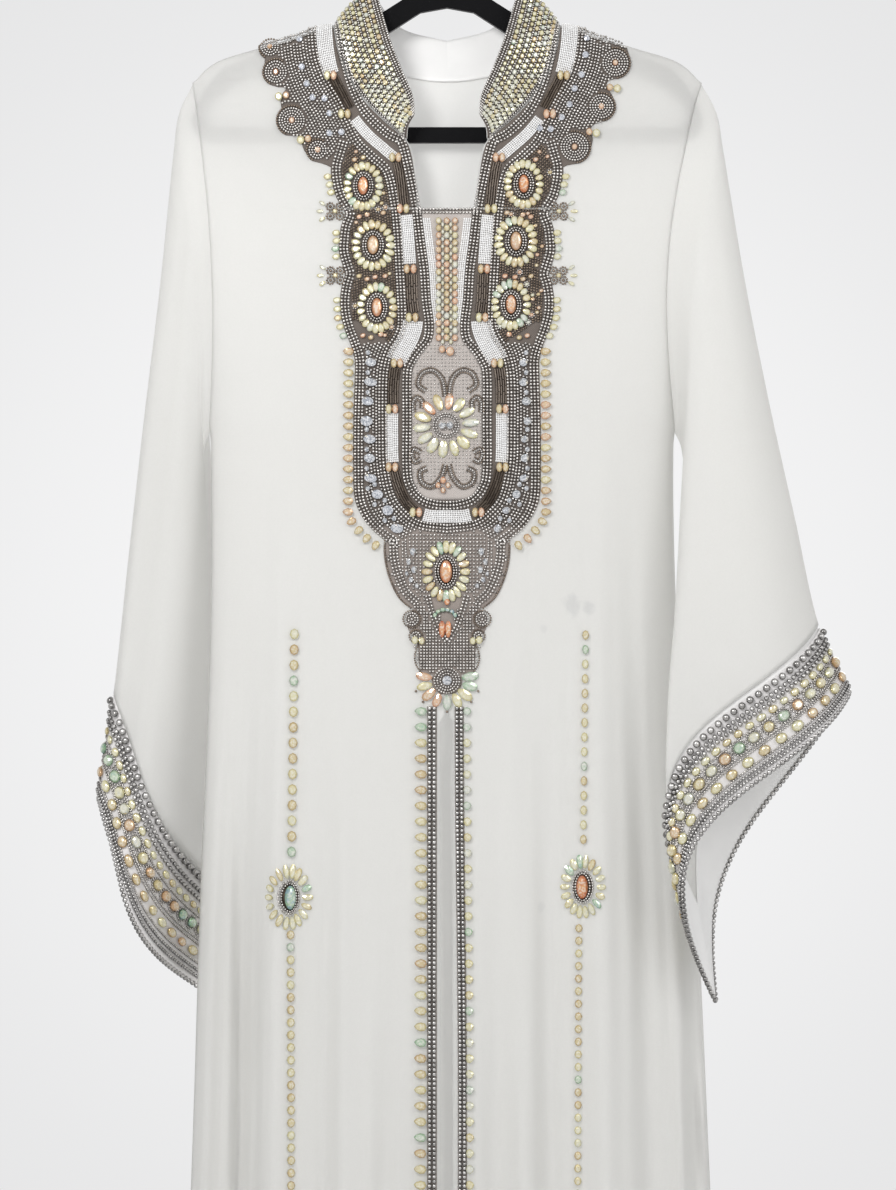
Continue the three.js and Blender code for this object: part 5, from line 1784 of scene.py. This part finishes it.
# Each border of the slit: its cloth's edges, its columns of beads and their step, how far it drifts from the
# opening on the way down, the drops' place, size and tints.
SLIT_ROWS = {
    "left": ((8.2, 16.2), (10.3, 14.1), 3.75, 0, 21.6, (10.2, 7.2, 4.8), (0.42, 0.62)),
    "right": ((6.2, 13.6), (8.1, 11.7), 3.55, 2.6, 16.4, (6.6, 7.2, 3.6), (0.3, 0.5)),
}
SLIT_TOP = -696.5


class KAFTAN_OT_slit(bpy.types.Operator):
    """Make the beaded borders of the front slit"""

    bl_idname = "kaftan.slit"
    bl_label = "Slit borders"

    def execute(self, context):
        levels = spread((SLIT_TOP, -1536, 200))
        for side, sign in SIDES:
            wide, columns, pitch, drift, drop_x, size, tints = SLIT_ROWS[side]

            def moved(x, z, drift=drift):
                return x + drift * ramp((SLIT_TOP - z) / 320)

            ground = laid_ground(
                f"slit_border_{side}_ground", levels,
                lambda z: moved(wide[0], z), lambda z: moved(wide[1], z), "slit_net", 0.8, 6, sign,
            )
            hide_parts(f"slit_border_{side}")
            beads = Beads(f"slit_{side}", FRONT)
            for column in columns:
                line = [Vector((sign * moved(column, z), z)) for z in spread((SLIT_TOP - 1.5, -1534, 200))]
                beads.row("pearl", line, pitch, (pitch * 0.96, pitch * 0.94, pitch * 0.8))
            count = 66
            for k in range(count):
                tint = beads.random.uniform(*tints) if beads.random.random() > 0.14 and k > 1 else 0.18
                z = lerp(SLIT_TOP - 4, -1530, k / (count - 1))
                beads.sew("drop", sign * moved(drop_x, z), z, (sign, 0.1), size, tint, -0.3)
            made = beads.make()
            area_of(ground)
        return {"FINISHED"}


# Lines of single stones down each front: top and foot rows of the chart, columns there, step and size.
STONE_RUNS = {
    "left": table(
        "top foot column_top column_foot pitch size",
        (634, 850, 152, 155, 16, (9, 7.6, 4)), (932, 1700, 156, 153, 12.4, (7.6, 6.6, 3.6)),
    ),
    "right": table(
        "top foot column_top column_foot pitch size",
        (635, 838, 138, 136, 15, (8, 5.6, 3.6)), (926, 1700, 131, 126, 12.4, (7.0, 6.0, 3.4)),
    ),
}
SKIRT_MEDALLIONS = {"left": (157, 895, 24, 33, 18, 0.05), "right": (135, 885, 23, 32, 18, 0.9)}


class KAFTAN_OT_stone_lines(bpy.types.Operator):
    """Make the lines of stones and their medallions down the fronts"""

    bl_idname = "kaftan.stone_lines"
    bl_label = "Stone lines"

    def execute(self, context):
        for side, sign in SIDES:
            beads = Beads(f"line_{side}", FRONT, 0.1)
            for run in STONE_RUNS[side]:
                count = round((run["foot"] - run["top"]) / run["pitch"])
                for k in range(count + 1):
                    f = k / count
                    column = lerp(run["column_top"], run["column_foot"], f)
                    place = chart(column, lerp(run["top"], run["foot"], f), sign)
                    tint = beads.random.choice((0.46, 0.58, 0.52, 0.4, 0.54, 0.48, 0.18))
                    beads.stone("chip", place, run["size"], tint)
            column, row, *size_and_tint = SKIRT_MEDALLIONS[side]
            tints = (0.4, 0.44, 0.36, 0.5, 0.15)
            medallion(beads, chart(column, row, sign), *size_and_tint, lift=1.2, tints=tints)
            made = beads.make()
            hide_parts(f"stone_line_{side}_upper", f"stone_line_{side}_lower")
            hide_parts(f"skirt_medallion_{side}")
        return {"FINISHED"}


class KAFTAN_OT_hanger(bpy.types.Operator):
    """Finish the hanger in velvet and its hook in steel"""

    bl_idname = "kaftan.hanger"
    bl_label = "Hanger"

    def execute(self, context):
        for node, look in (("hanger", "velvet"), ("hanger_hook", "steel")):
            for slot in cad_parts[node].material_slots:
                slot.material = look_of(look)
        return {"FINISHED"}


# ---------------------------------------------------------------- stage

CAMERA = (0.0008, -2.63, -0.6057)
SENSOR_HEIGHT = 24
FRAME_HEIGHT = 0.9758
SUBJECT_DISTANCE = 2.6


STUDIO_LIGHT = 0.62
# The lights: place, what each aims at, its size and its energy.
LIGHTS = {
    "key": ((-0.6, -1.35, 0.15), (0, 0, -0.45), 0.5, 13),
    "fill": ((1.3, -1.6, 0.35), (0.1, 0, -0.4), 1.2, 10),
    "behind": ((0.5, 1.9, 0.1), (0, 0, -0.8), 1.6, 14),
}


def soft_light(name, place, aim, size, energy):
    data = bpy.data.lights.new(name, "AREA")
    data.shape, data.size, data.energy = "DISK", size, energy
    light = bpy.data.objects.new(name, data)
    bpy.context.scene.collection.objects.link(light)
    light.location = place
    light.rotation_euler = (Vector(aim) - Vector(place)).to_track_quat("-Z", "Y").to_euler()


class KAFTAN_OT_stage(bpy.types.Operator):
    """Set the floor, the studio light and the camera"""

    bl_idname = "kaftan.stage"
    bl_label = "Stage"

    def execute(self, context):
        scene = context.scene
        settings = scene.kaftan_stage
        bm = bmesh.new()
        bmesh.ops.create_circle(bm, cap_ends=True, segments=96, radius=settings.floor_radius)
        bmesh.ops.translate(bm, verts=bm.verts, vec=(0, 0, HEM_Z * MM - 0.03))
        mesh = bpy.data.meshes.new("floor")
        bm.to_mesh(mesh)
        bm.free()
        floor = bpy.data.objects.new("floor", mesh)
        scene.collection.objects.link(floor)
        look = Look("floor", roughness=0.7)
        look.feed("Base Color", look.blend(look.noise(2), (0.78, 0.78, 0.785), (0.8, 0.8, 0.805)))
        mesh.materials.append(look.material)

        world = bpy.data.worlds.new("studio")
        scene.world = world
        world.use_nodes = True
        nodes, links = world.node_tree.nodes, world.node_tree.links
        nodes.clear()
        kinds = "Background Background TexCoord VectorMath MapRange LightPath MixShader OutputWorld"
        seen, lit, way, apart, away, ray, mix, output = (
            nodes.new("ShaderNode" + kind) for kind in kinds.split()
        )
        # The backdrop that the camera sees is a painted pool of light: brightest straight behind the garment
        # and darker towards the corners of the frame.
        apart.operation = "DISTANCE"
        apart.inputs[1].default_value = (0, 1, 0)
        away.interpolation_type = "SMOOTHSTEP"
        for socket, value in zip(away.inputs[1:5], (0.06, 0.26, 1.0, 0.875)):
            socket.default_value = value
        seen.inputs[0].default_value = (*settings.backdrop, 1)
        links.new(way.outputs["Generated"], apart.inputs[0])
        links.new(apart.outputs["Value"], away.inputs["Value"])
        links.new(away.outputs[0], seen.inputs[1])
        lit.inputs[0].default_value = (1.0, 1.0, 1.0, 1)
        lit.inputs[1].default_value = STUDIO_LIGHT
        links.new(ray.outputs["Is Camera Ray"], mix.inputs[0])
        links.new(lit.outputs[0], mix.inputs[1])
        links.new(seen.outputs[0], mix.inputs[2])
        links.new(mix.outputs[0], output.inputs[0])
        scene.view_settings.view_transform = "Standard"

        for name, light in LIGHTS.items():
            soft_light(name, *light)

        data = bpy.data.cameras.new("camera")
        data.sensor_fit = "VERTICAL"
        data.sensor_height = SENSOR_HEIGHT
        data.lens = SENSOR_HEIGHT * SUBJECT_DISTANCE / FRAME_HEIGHT
        camera = bpy.data.objects.new("camera", data)
        scene.collection.objects.link(camera)
        camera.location = CAMERA
        camera.rotation_euler = (math.pi / 2, 0, 0)
        scene.camera = camera
        return {"FINISHED"}


class KAFTAN_PT_panel(bpy.types.Panel):
    bl_idname = "KAFTAN_PT_panel"
    bl_label = "Kaftan"
    bl_space_type = "VIEW_3D"
    bl_region_type = "UI"
    bl_category = "Kaftan"

    def draw(self, context):
        for group in (context.scene.kaftan_cloth, context.scene.kaftan_stage):
            for name in group.__annotations__:
                self.layout.prop(group, name)
        for operator in OPERATORS:
            self.layout.operator(operator.bl_idname)


OPERATORS = (
    KAFTAN_OT_stage, KAFTAN_OT_hanger, KAFTAN_OT_fronts, KAFTAN_OT_back, KAFTAN_OT_sleeves, KAFTAN_OT_cuffs,
    KAFTAN_OT_collar, KAFTAN_OT_yoke, KAFTAN_OT_plastron, KAFTAN_OT_slit, KAFTAN_OT_stone_lines,
)
CLASSES = (KaftanCloth, KaftanStage, *OPERATORS, KAFTAN_PT_panel)


def register():
    for cls in CLASSES:
        bpy.utils.register_class(cls)
    bpy.types.Scene.kaftan_cloth = bpy.props.PointerProperty(type=KaftanCloth)
    bpy.types.Scene.kaftan_stage = bpy.props.PointerProperty(type=KaftanStage)


def unregister():
    del bpy.types.Scene.kaftan_stage
    del bpy.types.Scene.kaftan_cloth
    for cls in reversed(CLASSES):
        bpy.utils.unregister_class(cls)


def main():
    register()
    for operator in OPERATORS:
        group, name = operator.bl_idname.split(".")
        getattr(getattr(bpy.ops, group), name)()


if __name__ == "__main__":
    main()
